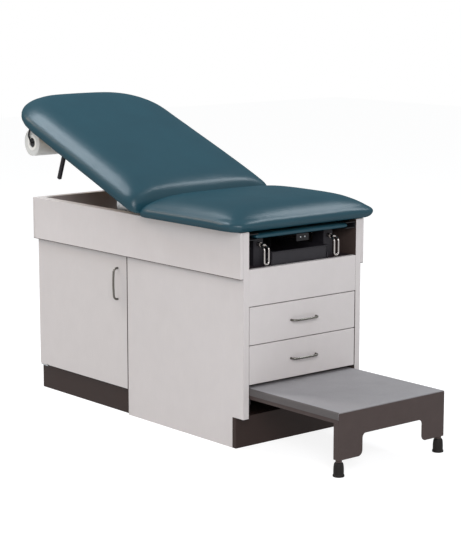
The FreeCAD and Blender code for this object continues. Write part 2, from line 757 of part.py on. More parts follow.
def heel_loop(y):
    """Bent wire loop hanging from its own turned-in ends, which sit in the arm's tongue."""
    x0 = STIRRUP_PIN_X
    x1 = STIRRUP_PIN_X + LOOP_FORWARD
    top = STIRRUP_PIN_Z
    points = []
    for way in (-1, 1):
        out = y + way * LOOP_SPREAD / 2
        side = [
            Vector(x0, y + way * LOOP_END_GAP / 2, top), Vector(x0, out, top),
            Vector(x1, out, top - LOOP_SHOULDER), Vector(x1, out, top - LOOP_DROP),
        ]
        points += side if way < 0 else side[::-1]
    radii = [0, LOOP_END_BEND, LOOP_BEND, LOOP_BEND]
    return wire_sweep(rounded_path(points, radii + radii[::-1], False), LOOP_WIRE_RADIUS)


def stirrup_block():
    """Guide block on the +Y side of the compartment floor, bored for the arm."""
    front = STIRRUP_PIN_X - 2 * ARM_TONGUE_LENGTH
    half = BLOCK_WIDTH / 2
    top = STIRRUP_PIN_Z + ARM_RADIUS + BLOCK_TOP_WALL
    outline = [
        (STIRRUP_Y - half, COMPARTMENT_FLOOR, 0), (STIRRUP_Y + half, COMPARTMENT_FLOOR, 0),
        (STIRRUP_Y + half, top, BLOCK_EDGE), (STIRRUP_Y - half, top, BLOCK_EDGE),
    ]
    block = plate(outline, in_yz(front - BLOCK_LENGTH), Vector(BLOCK_LENGTH, 0, 0))
    bore = rod(
        Vector(front + CUT_OVERLAP, STIRRUP_Y, STIRRUP_PIN_Z),
        Vector(front - BLOCK_LENGTH - CUT_OVERLAP, STIRRUP_Y, STIRRUP_PIN_Z),
        ARM_RADIUS + RUN_CLEARANCE,
    )
    return block.cut(bore)


def compartment_pieces():
    return {
        "leg_rest_panel": leg_rest_panel(),
        "leg_rest_tab": leg_rest_tab(),
        "leg_rest_rails": pair(leg_rest_rail()),
        "treatment_pan": treatment_pan(),
        "pan_guides": pair(pan_guide()),
        "stirrup_blocks": pair(stirrup_block()),
        "left_stirrup_arm": stirrup_arm(STIRRUP_Y),
        "left_heel_loop": heel_loop(STIRRUP_Y),
        "right_stirrup_arm": stirrup_arm(-STIRRUP_Y),
        "right_heel_loop": heel_loop(-STIRRUP_Y),
    }


# Pull-out step
def step_front_plate():
    """Arched front of folded sheet, with a flange turned back along each side."""
    inner = STEP_Y - STEP_LEG_WIDTH
    arch = STEP_TOP - STEP_BAND
    low = STEP_PLATE_BOTTOM
    outline = [
        (-STEP_Y, STEP_TOP, 0), (-STEP_Y, low, 0), (-inner, low, STEP_LEG_RADIUS),
        (-inner, arch, STEP_ARCH_RADIUS), (inner, arch, STEP_ARCH_RADIUS),
        (inner, low, STEP_LEG_RADIUS), (STEP_Y, low, 0), (STEP_Y, STEP_TOP, 0),
    ]
    back = STEP_FRONT_X - STEP_METAL
    face = plate(outline, in_yz(back), Vector(STEP_METAL, 0, 0))
    flange = box(
        STEP_FRONT_X - STEP_FLANGE, back, STEP_Y - STEP_METAL, STEP_Y, low, STEP_SKIRT_BOTTOM
    )
    return face.fuse([flange, mirrored(flange)]).removeSplitter()


def step_tray():
    """Sheet tray with side skirts hemmed inwards, open at the front and back."""
    front = STEP_FRONT_X - STEP_METAL
    t = STEP_METAL
    low = STEP_SKIRT_BOTTOM
    top = STEP_TRAY_TOP
    hem_y = STEP_Y - STEP_HEM
    outline = [
        (-STEP_Y, top, 0), (STEP_Y, top, 0), (STEP_Y, low, 0), (hem_y, low, 0),
        (hem_y, low + t, 0), (STEP_Y - t, low + t, 0), (STEP_Y - t, top - t, 0),
        (t - STEP_Y, top - t, 0), (t - STEP_Y, low + t, 0), (-hem_y, low + t, 0),
        (-hem_y, low, 0), (-STEP_Y, low, 0),
    ]
    return plate(outline, in_yz(STEP_REAR_X), Vector(front - STEP_REAR_X, 0, 0))


def step_tread_mat():
    """Thick tread that lies on the tray behind the front plate and shows its edge at the sides."""
    side = STEP_Y - MAT_INSET
    front = STEP_FRONT_X - STEP_METAL
    corners = [
        (STEP_REAR_X, -side, MAT_CORNER), (front, -side, 0), (front, side, 0), (STEP_REAR_X, side, MAT_CORNER),
    ]
    return plate(corners, in_xy(STEP_TRAY_TOP), Z_AXIS * MAT_THICKNESS)


def leg_centre():
    inset = STEP_METAL + LEG_TUBE_RADIUS
    return Vector(STEP_FRONT_X - inset, STEP_Y - inset, 0)


def step_leg_tube():
    start = leg_centre() + Z_AXIS * LEG_TUBE_START
    end = leg_centre() + Z_AXIS * STEP_SKIRT_BOTTOM
    return rod(start, end, LEG_TUBE_RADIUS).cut(rod(start, end, LEG_TUBE_RADIUS - LEG_TUBE_WALL))


def step_rubber_tip():
    """Crutch tip: broad foot drawn in to a neck, with a socket for the tube."""
    points = [
        Vector(0, 0, 0), Vector(TIP_BASE_RADIUS, 0, 0), Vector(TIP_BASE_RADIUS, 0, TIP_RIM_HEIGHT),
        Vector(TIP_NECK_RADIUS, 0, TIP_HEIGHT), Vector(LEG_TUBE_RADIUS, 0, TIP_HEIGHT),
        Vector(LEG_TUBE_RADIUS, 0, LEG_TUBE_START), Vector(0, 0, LEG_TUBE_START),
    ]
    wire = rounded_path(points, [0] * len(points), True)
    tip = Part.Face(wire).revolve(Vector(0, 0, 0), Z_AXIS, 360)
    tip.translate(leg_centre())
    return tip


def step_rail():
    """Channel on the +Y side: the tray rides on top of it and the glide runs inside it."""
    top = STEP_SKIRT_BOTTOM - RUN_CLEARANCE
    start = FRONT_X - STEP_RAIL_SETBACK
    t = STEP_RAIL_METAL
    outer = box(
        start - STEP_RAIL_LENGTH, start, IN_Y - STEP_RAIL_DEPTH, IN_Y, top - STEP_RAIL_HEIGHT, top
    )
    inner = box(
        start - STEP_RAIL_LENGTH - CUT_OVERLAP, start + CUT_OVERLAP,
        IN_Y - STEP_RAIL_DEPTH - CUT_OVERLAP, IN_Y - t,
        top - STEP_RAIL_HEIGHT + t, top - t,
    )
    return outer.cut(inner)


def step_glide():
    """Glide on the tray's rear corner: a foot in the channel and a neck up to the hem."""
    t = STEP_RAIL_METAL + RUN_CLEARANCE
    rail_top = STEP_SKIRT_BOTTOM - RUN_CLEARANCE
    low = rail_top - STEP_RAIL_HEIGHT + t
    high = rail_top - t
    mouth = IN_Y - STEP_RAIL_DEPTH - RUN_CLEARANCE
    outline = [
        (IN_Y - t, low, 0), (IN_Y - t, high, 0), (mouth, high, 0), (mouth, STEP_SKIRT_BOTTOM, 0),
        (mouth - GLIDE_NECK, STEP_SKIRT_BOTTOM, 0), (mouth - GLIDE_NECK, low, 0),
    ]
    return plate(outline, in_yz(STEP_REAR_X), Vector(GLIDE_LENGTH, 0, 0))


def step_pieces():
    return {
        "step_front_plate": step_front_plate(),
        "step_tray": step_tray(),
        "step_tread_mat": step_tread_mat(),
        "step_leg_tubes": pair(step_leg_tube()),
        "step_rubber_tips": pair(step_rubber_tip()),
        "step_glides": pair(step_glide()),
        "step_rails": pair(step_rail()),
    }


# Upholstered pads
def pad_levels(thickness, crown):
    """Heights and edge insets of a pad: tucked in below, rolled over above, then a crown."""
    levels = []
    for degrees in PAD_TUCK_DEGREES:
        a = math.radians(degrees)
        levels.append((PAD_TUCK_HEIGHT * (1 - math.cos(a)), PAD_TUCK * (1 - math.sin(a))))
    roll_height = thickness - crown - PAD_TUCK_HEIGHT
    for degrees in PAD_ROLL_DEGREES:
        a = math.radians(degrees)
        levels.append((PAD_TUCK_HEIGHT + roll_height * math.sin(a), PAD_ROLL * (1 - math.cos(a))))
    for share in PAD_CROWN_SHARES:
        rise = crown * (1 - (1 - share) ** 2)
        levels.append((thickness - crown + rise, PAD_ROLL + PAD_CROWN_RUN * share))
    return levels


def pad_outline(hinge_x, far_x, way, inset, hinge_inset, far_corner, z):
    """Plan outline at one level: corners at the hinge end and at the far end."""
    half = PAD_WIDTH / 2 - inset
    near = hinge_x + way * hinge_inset
    far = far_x - way * inset
    far_r = max(far_corner - inset, PAD_TIGHT_CORNER)
    hinge_r = max(PAD_HINGE_CORNER - inset / 2, PAD_TIGHT_CORNER)
    points = [Vector(near, -half, z), Vector(far, -half, z), Vector(far, half, z), Vector(near, half, z)]
    return rounded_path(points, [hinge_r, far_r, far_r, hinge_r], True)


def cushion(hinge_x, far_x, way, far_corner, bottom, thickness, crown):
    outlines = []
    for height, inset in pad_levels(thickness, crown):
        share = min(height / thickness, 1.0)
        hinge_inset = PAD_HINGE_LEAN * height + PAD_HINGE_ROLL * (1 - math.sqrt(1 - share * share))
        outlines.append(
            pad_outline(hinge_x, far_x, way, inset, hinge_inset, far_corner, bottom + height)
        )
    return Part.makeLoft(outlines, True, True)


def pad_board(hinge_x, far_x, way, far_corner, bottom, grow):
    """Plywood board in the pad's underside; grow makes the pocket that takes it."""
    near = hinge_x + way * (PAD_BOARD_INSET - grow)
    far = far_x - way * (PAD_BOARD_INSET - grow)
    half = PAD_BOARD_WIDTH / 2 + grow
    r = far_corner
    corners = [(near, -half, 0), (far, -half, r), (far, half, r), (near, half, 0)]
    return plate(corners, in_xy(bottom), Z_AXIS * (PAD_BOARD_THICKNESS + grow))


def hinge_pockets():
    """Room in both pads' lower edges for the hinge ears and pins."""
    inner = Vector(HINGE_X, ARM_IN_Y - HINGE_PIN_PROUD - HINGE_POCKET_GAP, HINGE_Z)
    outer = Vector(HINGE_X, IN_Y + HINGE_POCKET_GAP, HINGE_Z)
    pocket = rod(inner, outer, HINGE_BOSS_RADIUS + HINGE_POCKET_GAP)
    return pocket, mirrored(pocket)


def seat_pieces():
    near = HINGE_X + PAD_HINGE_GAP
    far = FRONT_X + SEAT_OVERHANG
    board = pad_board(near, far, 1, PAD_BOARD_CORNER, CABINET_TOP, 0)
    pocket = pad_board(near, far, 1, PAD_BOARD_CORNER, CABINET_TOP, PAD_LIFT)
    pad = cushion(near, far, 1, SEAT_CORNER, CABINET_TOP + PAD_LIFT, SEAT_THICKNESS, SEAT_CROWN)
    return {"seat_board": board, "seat_pad": pad.cut([pocket, *hinge_pockets()])}


# Backrest, drawn flat on the cabinet and then raised
def hinge_arm():
    """Plate arm on the +Y side from the hinge pin to the lift shaft, with a screw flange."""
    def at(x, z, r):
        return (HINGE_X + x, HINGE_Z + z, r)

    shaft_x = SHAFT_X - HINGE_X
    shaft_z = SHAFT_Z - HINGE_Z
    boss = HINGE_BOSS_RADIUS
    nose = SHAFT_BOSS_RADIUS
    heel = ROUND_END_FLAT - boss
    outline = [
        at(0, HINGE_DROP, 0), at(0, heel, 0), at(-boss, heel, ARM_HEEL_RADIUS),
        at(shaft_x + nose, shaft_z - nose, nose - 2 * ROUND_END_FLAT),
        at(shaft_x - nose, shaft_z - nose, nose - 2 * ROUND_END_FLAT),
        at(-ARM_FLANGE_END, HINGE_DROP, 0),
    ]
    web = plate(outline, in_xz(ARM_IN_Y), Y_AXIS * ARM_PLATE)
    board_start = HINGE_X - PAD_HINGE_GAP - PAD_BOARD_INSET
    flange = box(
        HINGE_X - ARM_FLANGE_END, board_start, ARM_IN_Y - ARM_FLANGE_WIDTH, ARM_IN_Y,
        BACKREST_UNDER - ARM_PLATE, BACKREST_UNDER,
    )
    pad_room = box(
        board_start, HINGE_X + CUT_OVERLAP, ARM_IN_Y - CUT_OVERLAP, ARM_OUT_Y + CUT_OVERLAP,
        BACKREST_UNDER - PAD_LIFT, BACKREST_UNDER + CUT_OVERLAP,
    )
    ear = rod(Vector(HINGE_X, ARM_IN_Y, HINGE_Z), Vector(HINGE_X, ARM_OUT_Y, HINGE_Z), boss)
    arm = web.cut(pad_room).fuse([flange, ear])
    for x, z, r in ((HINGE_X, HINGE_Z, HINGE_PIN_RADIUS), (SHAFT_X, SHAFT_Z, SHAFT_RADIUS)):
        start = Vector(x, ARM_IN_Y - CUT_OVERLAP, z)
        end = Vector(x, ARM_OUT_Y + CUT_OVERLAP, z)
        bore = rod(start, end, r + PIN_CLEARANCE)
        arm = arm.cut(bore)
    return arm.removeSplitter()


def hinge_bracket():
    """Plate on the +Y side panel with the backrest's hinge pin."""
    half = HINGE_PLATE_SIZE / 2
    low = CABINET_TOP - HINGE_PLATE_SIZE
    r = HINGE_PLATE_CORNER
    corners = [
        (HINGE_X - half, low, r), (HINGE_X + half, low, r),
        (HINGE_X + half, CABINET_TOP, 0), (HINGE_X - half, CABINET_TOP, 0),
    ]
    slab = plate(corners, in_xz(IN_Y - HINGE_PLATE), Y_AXIS * HINGE_PLATE)
    face = Vector(HINGE_X, IN_Y - HINGE_PLATE, HINGE_Z)
    ear = rod(face, face + Y_AXIS * HINGE_PLATE, HINGE_BOSS_RADIUS)
    pin = rod(Vector(HINGE_X, ARM_IN_Y - HINGE_PIN_PROUD, HINGE_Z), face, HINGE_PIN_RADIUS)
    return slab.fuse([ear, pin]).removeSplitter()


def paper_holder():
    """Strap bracket at each end of the roll, with a spindle and core hubs between them."""
    half = ROLL_LENGTH / 2
    strap_y = half + HOLDER_END_GAP
    r = HOLDER_WIDTH / 2
    top = BACKREST_UNDER
    outline = [
        (ROLL_X - r, top, 0), (ROLL_X - r, ROLL_Z - r, r - ROUND_END_FLAT),
        (ROLL_X + r, ROLL_Z - r, r - ROUND_END_FLAT), (ROLL_X + r, top, 0),
    ]
    strap = plate(outline, in_xz(strap_y), Y_AXIS * HOLDER_METAL)
    foot = box(
        ROLL_X - r, ROLL_X + r, strap_y + HOLDER_METAL - HOLDER_FOOT, strap_y + HOLDER_METAL,
        top - HOLDER_METAL, top,
    )
    hub = rod(
        Vector(ROLL_X, half - HUB_LENGTH, ROLL_Z), Vector(ROLL_X, strap_y, ROLL_Z),
        CORE_BORE_RADIUS - RUN_CLEARANCE,
    )
    spindle = rod(
        Vector(ROLL_X, -strap_y, ROLL_Z), Vector(ROLL_X, strap_y, ROLL_Z), SPINDLE_RADIUS
    )
    end = strap.fuse([foot, hub])
    return end.fuse([mirrored(end), spindle]).removeSplitter()


def roll_tube(outer, inner):
    start = Vector(ROLL_X, -ROLL_LENGTH / 2, ROLL_Z)
    end = Vector(ROLL_X, ROLL_LENGTH / 2, ROLL_Z)
    return rod(start, end, outer).cut(rod(start, end, inner))


def lever_bracket():
    """Two ears and a base under the board, with the lever's pin."""
    half = LEVER_EYE_WIDTH / 2 + RUN_CLEARANCE
    outer = half + LEVER_EAR
    base = box(
        LEVER_X - LEVER_BASE / 2, LEVER_X + LEVER_BASE / 2, LEVER_Y - outer, LEVER_Y + outer,
        BACKREST_UNDER - LEVER_EAR, BACKREST_UNDER,
    )
    pieces = []
    r = LEVER_EYE_RADIUS
    low = LEVER_PIVOT_Z - r
    high = BACKREST_UNDER - LEVER_EAR
    for y in (LEVER_Y - outer, LEVER_Y + half):
        corners = [
            (LEVER_X - r, high, 0), (LEVER_X - r, low, r - ROUND_END_FLAT),
            (LEVER_X + r, low, r - ROUND_END_FLAT), (LEVER_X + r, high, 0),
        ]
        pieces.append(plate(corners, in_xz(y), Y_AXIS * LEVER_EAR))
    pieces.append(
        rod(
            Vector(LEVER_X, LEVER_Y - outer, LEVER_PIVOT_Z),
            Vector(LEVER_X, LEVER_Y + outer, LEVER_PIVOT_Z), LEVER_PIN_RADIUS,
        )
    )
    return base.fuse(pieces).removeSplitter()


def release_lever():
    """Shank with an eye on the pin and a grip with rounded ends."""
    half = LEVER_EYE_WIDTH / 2
    eye = rod(
        Vector(LEVER_X, LEVER_Y - half, LEVER_PIVOT_Z), Vector(LEVER_X, LEVER_Y + half, LEVER_PIVOT_Z),
        LEVER_EYE_RADIUS,
    )
    end_z = BACKREST_UNDER - LEVER_LENGTH
    grip_top = end_z + LEVER_GRIP_LENGTH
    r = LEVER_GRIP_RADIUS
    bevel = LEVER_GRIP_BEVEL
    points = [
        Vector(0, 0, end_z), Vector(r - bevel, 0, end_z), Vector(r, 0, end_z + bevel),
        Vector(r, 0, grip_top), Vector(0, 0, grip_top),
    ]
    wire = rounded_path(points, [0] * len(points), True)
    grip = Part.Face(wire).revolve(Vector(0, 0, 0), Z_AXIS, 360)
    grip.translate(Vector(LEVER_X, LEVER_Y, 0))
    shank = rod(
        Vector(LEVER_X, LEVER_Y, grip_top - LEVER_SHANK_BURY), Vector(LEVER_X, LEVER_Y, LEVER_PIVOT_Z),
        LEVER_SHANK_RADIUS,
    )
    bore = rod(
        Vector(LEVER_X, LEVER_Y - half - CUT_OVERLAP, LEVER_PIVOT_Z),
        Vector(LEVER_X, LEVER_Y + half + CUT_OVERLAP, LEVER_PIVOT_Z),
        LEVER_PIN_RADIUS + PIN_CLEARANCE,
    )
    return eye.fuse([shank, grip]).cut(bore).removeSplitter()


def backrest_pieces():
    near = HINGE_X - PAD_HINGE_GAP
    far = HINGE_X - BACKREST_LENGTH
    corner = HEAD_CORNER - PAD_BOARD_INSET
    board = pad_board(near, far, -1, corner, BACKREST_UNDER, 0)
    pocket = pad_board(near, far, -1, corner, BACKREST_UNDER, PAD_LIFT)
    pad = cushion(near, far, -1, HEAD_CORNER, BACKREST_UNDER, BACKREST_THICKNESS, BACKREST_CROWN)
    shaft = rod(Vector(SHAFT_X, -ARM_OUT_Y, SHAFT_Z), Vector(SHAFT_X, ARM_OUT_Y, SHAFT_Z), SHAFT_RADIUS)
    flat = {
        "backrest_board": board,
        "backrest_pad": pad.cut([pocket, *hinge_pockets()]),
        "hinge_arms": pair(hinge_arm()),
        "lift_shaft": shaft,
        "paper_holder": paper_holder(),
        "paper_roll": roll_tube(ROLL_RADIUS, CORE_RADIUS),
        "paper_core": roll_tube(CORE_RADIUS, CORE_BORE_RADIUS),
        "lever_bracket": lever_bracket(),
        "release_lever": release_lever(),
    }
    pieces = {name: raised(shape) for name, shape in flat.items()}
    pieces["hinge_brackets"] = pair(hinge_bracket())
    return pieces


# Gas strut between the anchor and the lift shaft. Both pivots are equally far from the hinge,
# so the strut's line always turns by half the backrest's angle.
def strut_frame():
    """Anchor point, shaft point at rest and the direction between them."""
    anchor = Vector(ANCHOR_X, 0, ANCHOR_Z)
    turn = math.radians(BACKREST_ANGLE)
    x = SHAFT_X - HINGE_X
    z = SHAFT_Z - HINGE_Z
    shaft = Vector(
        HINGE_X + x * math.cos(turn) + z * math.sin(turn), 0,
        HINGE_Z - x * math.sin(turn) + z * math.cos(turn),
    )
    along = Vector(shaft.x - anchor.x, 0, shaft.z - anchor.z).normalize()
    return anchor, shaft, along


def strut_eye(centre, bore_radius):
    side = Y_AXIS * (STRUT_EYE_WIDTH / 2)
    eye = rod(centre - side, centre + side, STRUT_EYE_RADIUS)
    return eye, rod(centre - side * 2, centre + side * 2, bore_radius + PIN_CLEARANCE)


def strut_cylinder():
    anchor, _, along = strut_frame()
    eye, bore = strut_eye(anchor, ANCHOR_PIN_RADIUS)
    start = anchor + along * STRUT_TUBE_START
    end = anchor + along * STRUT_TUBE_END
    tube = rod(start, end, STRUT_TUBE_RADIUS)
    neck = rod(anchor, start + along * CUT_OVERLAP, STRUT_NECK_RADIUS)
    guide = rod(start + along * STRUT_CAP, end + along * CUT_OVERLAP, STRUT_ROD_RADIUS + RUN_CLEARANCE)
    return eye.fuse([neck, tube]).cut(bore).cut(guide).removeSplitter()


def strut_rod():
    _, shaft, along = strut_frame()
    eye, bore = strut_eye(shaft, SHAFT_RADIUS)
    bar = rod(shaft - along * STRUT_ROD_LENGTH, shaft, STRUT_ROD_RADIUS)
    return eye.fuse(bar).cut(bore).removeSplitter()


def strut_anchor():
    """Bracket on the cross rail's rear face: base, two ears and the pin."""
    half = STRUT_EYE_WIDTH / 2 + RUN_CLEARANCE
    outer = half + ANCHOR_EAR
    r = STRUT_EYE_RADIUS
    base_x = CROSS_RAIL_X - ANCHOR_EAR
    base = box(base_x, CROSS_RAIL_X, -outer, outer, ANCHOR_Z - ANCHOR_BASE / 2, ANCHOR_Z + ANCHOR_BASE / 2)
    pieces = []
    for y in (-outer, half):
        corners = [
            (base_x, ANCHOR_Z + r, 0), (ANCHOR_X - r, ANCHOR_Z + r, r - ROUND_END_FLAT),
            (ANCHOR_X - r, ANCHOR_Z - r, r - ROUND_END_FLAT), (base_x, ANCHOR_Z - r, 0),
        ]
        pieces.append(plate(corners, in_xz(y), Y_AXIS * ANCHOR_EAR))
    pieces.append(
        rod(Vector(ANCHOR_X, -outer, ANCHOR_Z), Vector(ANCHOR_X, outer, ANCHOR_Z), ANCHOR_PIN_RADIUS)
    )
    return base.fuse(pieces).removeSplitter()


def strut_pieces():
    return {
        "strut_cylinder": strut_cylinder(),
        "strut_rod": strut_rod(),
        "strut_anchor": strut_anchor(),
    }


def all_pieces():
    pieces = {}
    for group in (
        cabinet_boards, door_pieces, drawer_pieces, compartment_pieces, step_pieces,
        seat_pieces, backrest_pieces, strut_pieces,
    ):
        pieces.update(group())
    return pieces


os.makedirs("parts", exist_ok=True)
for node, shape in all_pieces().items():
    shape.exportStep(os.path.join("parts", node + ".step"))
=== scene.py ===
import bmesh
import bpy
import json
import math
import numpy as np
from mathutils import Matrix, Vector, noise


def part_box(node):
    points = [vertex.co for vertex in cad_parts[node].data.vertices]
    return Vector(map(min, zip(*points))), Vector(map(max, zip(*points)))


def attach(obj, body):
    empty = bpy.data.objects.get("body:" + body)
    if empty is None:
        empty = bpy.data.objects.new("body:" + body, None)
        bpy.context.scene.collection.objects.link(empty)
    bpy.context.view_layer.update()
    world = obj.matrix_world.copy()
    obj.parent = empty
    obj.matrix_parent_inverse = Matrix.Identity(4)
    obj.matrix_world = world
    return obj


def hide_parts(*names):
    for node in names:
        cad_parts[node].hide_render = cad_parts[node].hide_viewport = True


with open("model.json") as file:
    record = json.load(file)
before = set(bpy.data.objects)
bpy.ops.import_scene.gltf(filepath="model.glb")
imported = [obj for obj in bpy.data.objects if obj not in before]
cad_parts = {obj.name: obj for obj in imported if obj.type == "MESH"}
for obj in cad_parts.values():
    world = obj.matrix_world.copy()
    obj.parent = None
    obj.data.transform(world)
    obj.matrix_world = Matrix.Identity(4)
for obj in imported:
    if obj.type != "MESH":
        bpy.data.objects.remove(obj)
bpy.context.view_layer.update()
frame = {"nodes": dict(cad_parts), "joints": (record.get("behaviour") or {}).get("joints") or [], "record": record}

# Examination table: an upholstered top in two pads on a laminate cabinet with drawers, a door and a
# pull-out step. Everything is in metres, in the part's own frame.

MM = 0.001
nodes = frame["nodes"]
joints = {joint["name"]: joint for joint in frame["joints"]}
body_of = {
    node: body for body, members in frame["record"]["behaviour"]["bodies"].items() for node in members
}
slot_of = {entry["node"]: entry["material_slot"] for entry in frame["record"]["subparts"]}
scene = bpy.context.scene

# Camera and frame, from the photograph
PHOTO_WIDTH = 461
PHOTO_HEIGHT = 553
FOCAL_PIXELS = 1753.0
CENTRE_SHIFT_PIXELS = 2.9
CAMERA_PLACE = (4.9729, -4.1154, 1.6484)
CAMERA_AZIMUTH = 50.07
CAMERA_PITCH = 9.89
SENSOR = 36.0
CLIP_END = 100

# Upholstery. A facing is the upright part of a normal, from -1 for down to 1 for up.
PAD_VOXEL = 9 * MM
PAD_EDGE_PASSES = 16
PAD_CROWN_FACING = 0.85
PAD_CROWN_REACH = 60 * MM
PAD_CROWN_EXTRA = 0.5 * MM
PAD_CROWN_ROUNDS = 1200
PAD_SWELL = 2.5 * MM
SWELL_PASSES = 30
PAD_FULLNESS = 8 * MM
PAD_FULL_FROM = 30 * MM
PAD_STAPLED_HEIGHT = 6 * MM
PAD_HINGE_EASE = 70 * MM
SEAT_CORNER_FULLNESS = 9 * MM
SEAT_CORNER_REACH = 130 * MM
PAD_UNDERSIDE_FACING = -0.3
PAD_SIDE_FACING = 0.2
PAD_TOP_FADE = 0.6
PAD_UNEVEN = 0.5 * MM
PAD_UNEVEN_SIZE = 110 * MM
LEG_REST_VOXEL = 6 * MM
LEG_REST_EDGE_PASSES = 4
LEG_REST_SWELL = 2.5 * MM
LEG_REST_HELD_EDGE = 16 * MM
LEG_REST_TOP_FACING = 0.3
COVER_SMOOTHING = 0.5
COVER_EVEN_PASSES = 4
CLOTH_FRAMES = 20
CLOTH_QUALITY = 3
CLOTH_MASS = 0.4
CLOTH_STIFFNESS = 18
CLOTH_BENDING = 3
CLOTH_PRESSURE = 4
WRAP_IN = 22 * MM
WRAP_OUT = 6 * MM
WRAP_THICKNESS = 0.25 * MM
WRAP_DROP = 0.2 * MM
HEAD_BOARD_CORNER = 178 * MM
STAPLE_PITCH = 38 * MM
STAPLE_CROWN = 11 * MM
STAPLE_WIRE = 0.55 * MM
STAPLE_EDGE = 3 * MM
STAPLE_SIDES = 6
STAPLE_SKEW = 0.12
STAPLE_SEED = 7

# Step. The tip is turned from points of (radius, height).
TREAD_SKIRT = 24 * MM
TREAD_WALL = 1.3 * MM
TREAD_GAP = 0.2 * MM
TREAD_ROUND = 6 * MM
TIP_FOOT = 20 * MM
TIP_PROFILE_MM = [
    (0, 1.0), (15.5, 1.0), (16.5, 0), (19.0, 0), (19.8, 0.8), (20.0, 4.0), (19.4, 6.4), (18.2, 8.0),
    (17.8, 10.0), (17.9, 16.0), (17.8, 24.0), (17.4, 32.0), (16.8, 38.0), (15.8, 43.0), (14.2, 46.5),
    (12.6, 48.0), (11.3, 48.2), (11.1, 44.0),
]
TURNING_STEPS = 48

# Boards: broken edges, faces that look into the cabinet (darker past the partition as painted shade)
# and edges where the dark core shows, widened into a painted shadow line. Angles are in degrees.
EDGE_SEGMENTS = 2
EDGE_ANGLE = 35
FLAT_FACE_WEIGHT = 100
FLAT_FACE_ANGLE = 0.5
JOINED_WITHIN = 0.002 * MM
INNER_FACING = 0.9
INNER_FACES = {
    "door_side_panel": Vector((0, 1, 0)), "plain_side_panel": Vector((0, -1, 0)),
    "head_panel": Vector((1, 0, 0)),
}
CORE_AND_SHADOW_EDGES = {
    "door_panel": Vector((1, 0, 0)), "apron_door_side": Vector((0, 0, -1)),
    "apron_plain_side": Vector((0, 0, -1)), "apron_head_end": Vector((0, 0, -1)),
}
CORE_AND_SHADOW_LINE = 2.5 * MM

# Bent wire
PULL_WIRE = 4 * MM
PULL_BEND = 15 * MM
PULL_BOW = 4 * MM
LOOP_WIRE = 3.6 * MM
LOOP_SHOULDER = 12 * MM
LOOP_BEND = 9 * MM
LOOP_END_BEND = 4.4 * MM
LOOP_END_GAP = 1 * MM
BEND_STEPS = 8
WIRE_ROUNDNESS = 6

# Paper roll and its holder
ARM_BAR = 3.5 * MM
ARM_SIDEWAYS = 26 * MM
ARM_KNEE = 20 * MM
ARM_BEND = 14 * MM
ARM_END_BEND = 3.6 * MM
ARM_END_GAP = 0.7 * MM
ARM_IN_CORE = 30 * MM
CORE_WALL = 11 * MM
HUB_RECESS = 4 * MM
HUB_LENGTH = 34 * MM
HUB_GAP = 0.5 * MM
FOOT_SIZE = (30 * MM, 34 * MM, 3 * MM)
ROLL_SEGMENTS = 96
ROLL_RINGS = 18
ROLL_STEP = 0.7 * MM
ROLL_TELESCOPE = 0.5 * MM
ROLL_LIP = 1 * MM
ROLL_ON_CORE = 0.05 * MM
ROLL_UNEVEN_STEP = 1.7
ROLL_UNEVEN_ROW = 0.3

# Angles, in degrees, past which a smooth piece keeps a crisp edge
SHEET_CREASE = 40
WIRE_CREASE = 50
TIP_CREASE = 60

# Screws. A head of unit radius has rings of (radius, height), and its cross recess has a rim and a
# floor of (arm, notch, height). Then come the heads' radii and their places on the pieces they hold.
SCREW_POINTS = 12
SCREW_SEED = 3
SCREW_RINGS = ((1.0, 0.0), (1.0, 0.22), (0.8, 0.5), (0.52, 0.6))
RECESS_RIM = (0.46, 0.18, 0.6)
RECESS_FLOOR = (0.36, 0.12, 0.25)
TAB_SCREW = 2.8 * MM
TAB_SCREW_Y = (-10 * MM, 10 * MM)
TAB_SCREW_DOWN = 12 * MM
FITTING_SCREW = 3.6 * MM
DRAWER_WALL = 12 * MM
HINGE_PLATE = 5 * MM
HINGE_SCREW_X = (-22 * MM, 22 * MM)
HINGE_SCREW_DOWN = (40 * MM, 62 * MM)
GUIDE_SCREW = 1.9 * MM
GUIDE_SCREW_IN = 2.5 * MM
GUIDE_SCREW_SHARES = (0.08, 0.5, 0.92)
BOARD_SCREW = 3.2 * MM
BOARD_SCREW_IN = 20 * MM
ARM_FLANGE = 6 * MM
ARM_SCREW_X = (70 * MM, 130 * MM, 190 * MM, 238 * MM)
HOLDER_SCREW_X = (-8 * MM, 8 * MM)
FITTING_PLATE = 3 * MM
LEVER_SCREW_IN = 4.5 * MM

# Studio
FLOOR_SIZE = 24
FLOOR_BELOW = 0.2 * MM
FLOOR_GLOW = 0.87
AMBIENT_LIGHT = 0.4


# Materials
def linear(text):
    """An sRGB hex value as linear RGBA."""
    shades = [int(text[i:i + 2], 16) / 255 for i in (1, 3, 5)]
    return [c / 12.92 if c <= 0.04045 else ((c + 0.055) / 1.055) ** 2.4 for c in shades] + [1.0]


def add(tree, kind, inputs=None, **settings):
    """Adds a node with its settings; each input is given a value or linked to a socket."""
    made = tree.nodes.new(kind)
    for name, value in settings.items():
        setattr(made, name, value)
    for key, value in (inputs or {}).items():
        if isinstance(value, bpy.types.NodeSocket):
            tree.links.new(value, made.inputs[key])
        else:
            made.inputs[key].default_value = value
    return made


def finish(name, **sockets):
    """A material with constant values on its shader's sockets; gives its tree and coordinates too."""
    material = bpy.data.materials.new(name)
    material.use_nodes = True
    tree = material.node_tree
    shader = tree.nodes["Principled BSDF"]
    for socket, value in sockets.items():
        shader.inputs[socket.replace("_", " ")].default_value = value
    return material, tree, shader, add(tree, "ShaderNodeTexCoord").outputs["Object"]


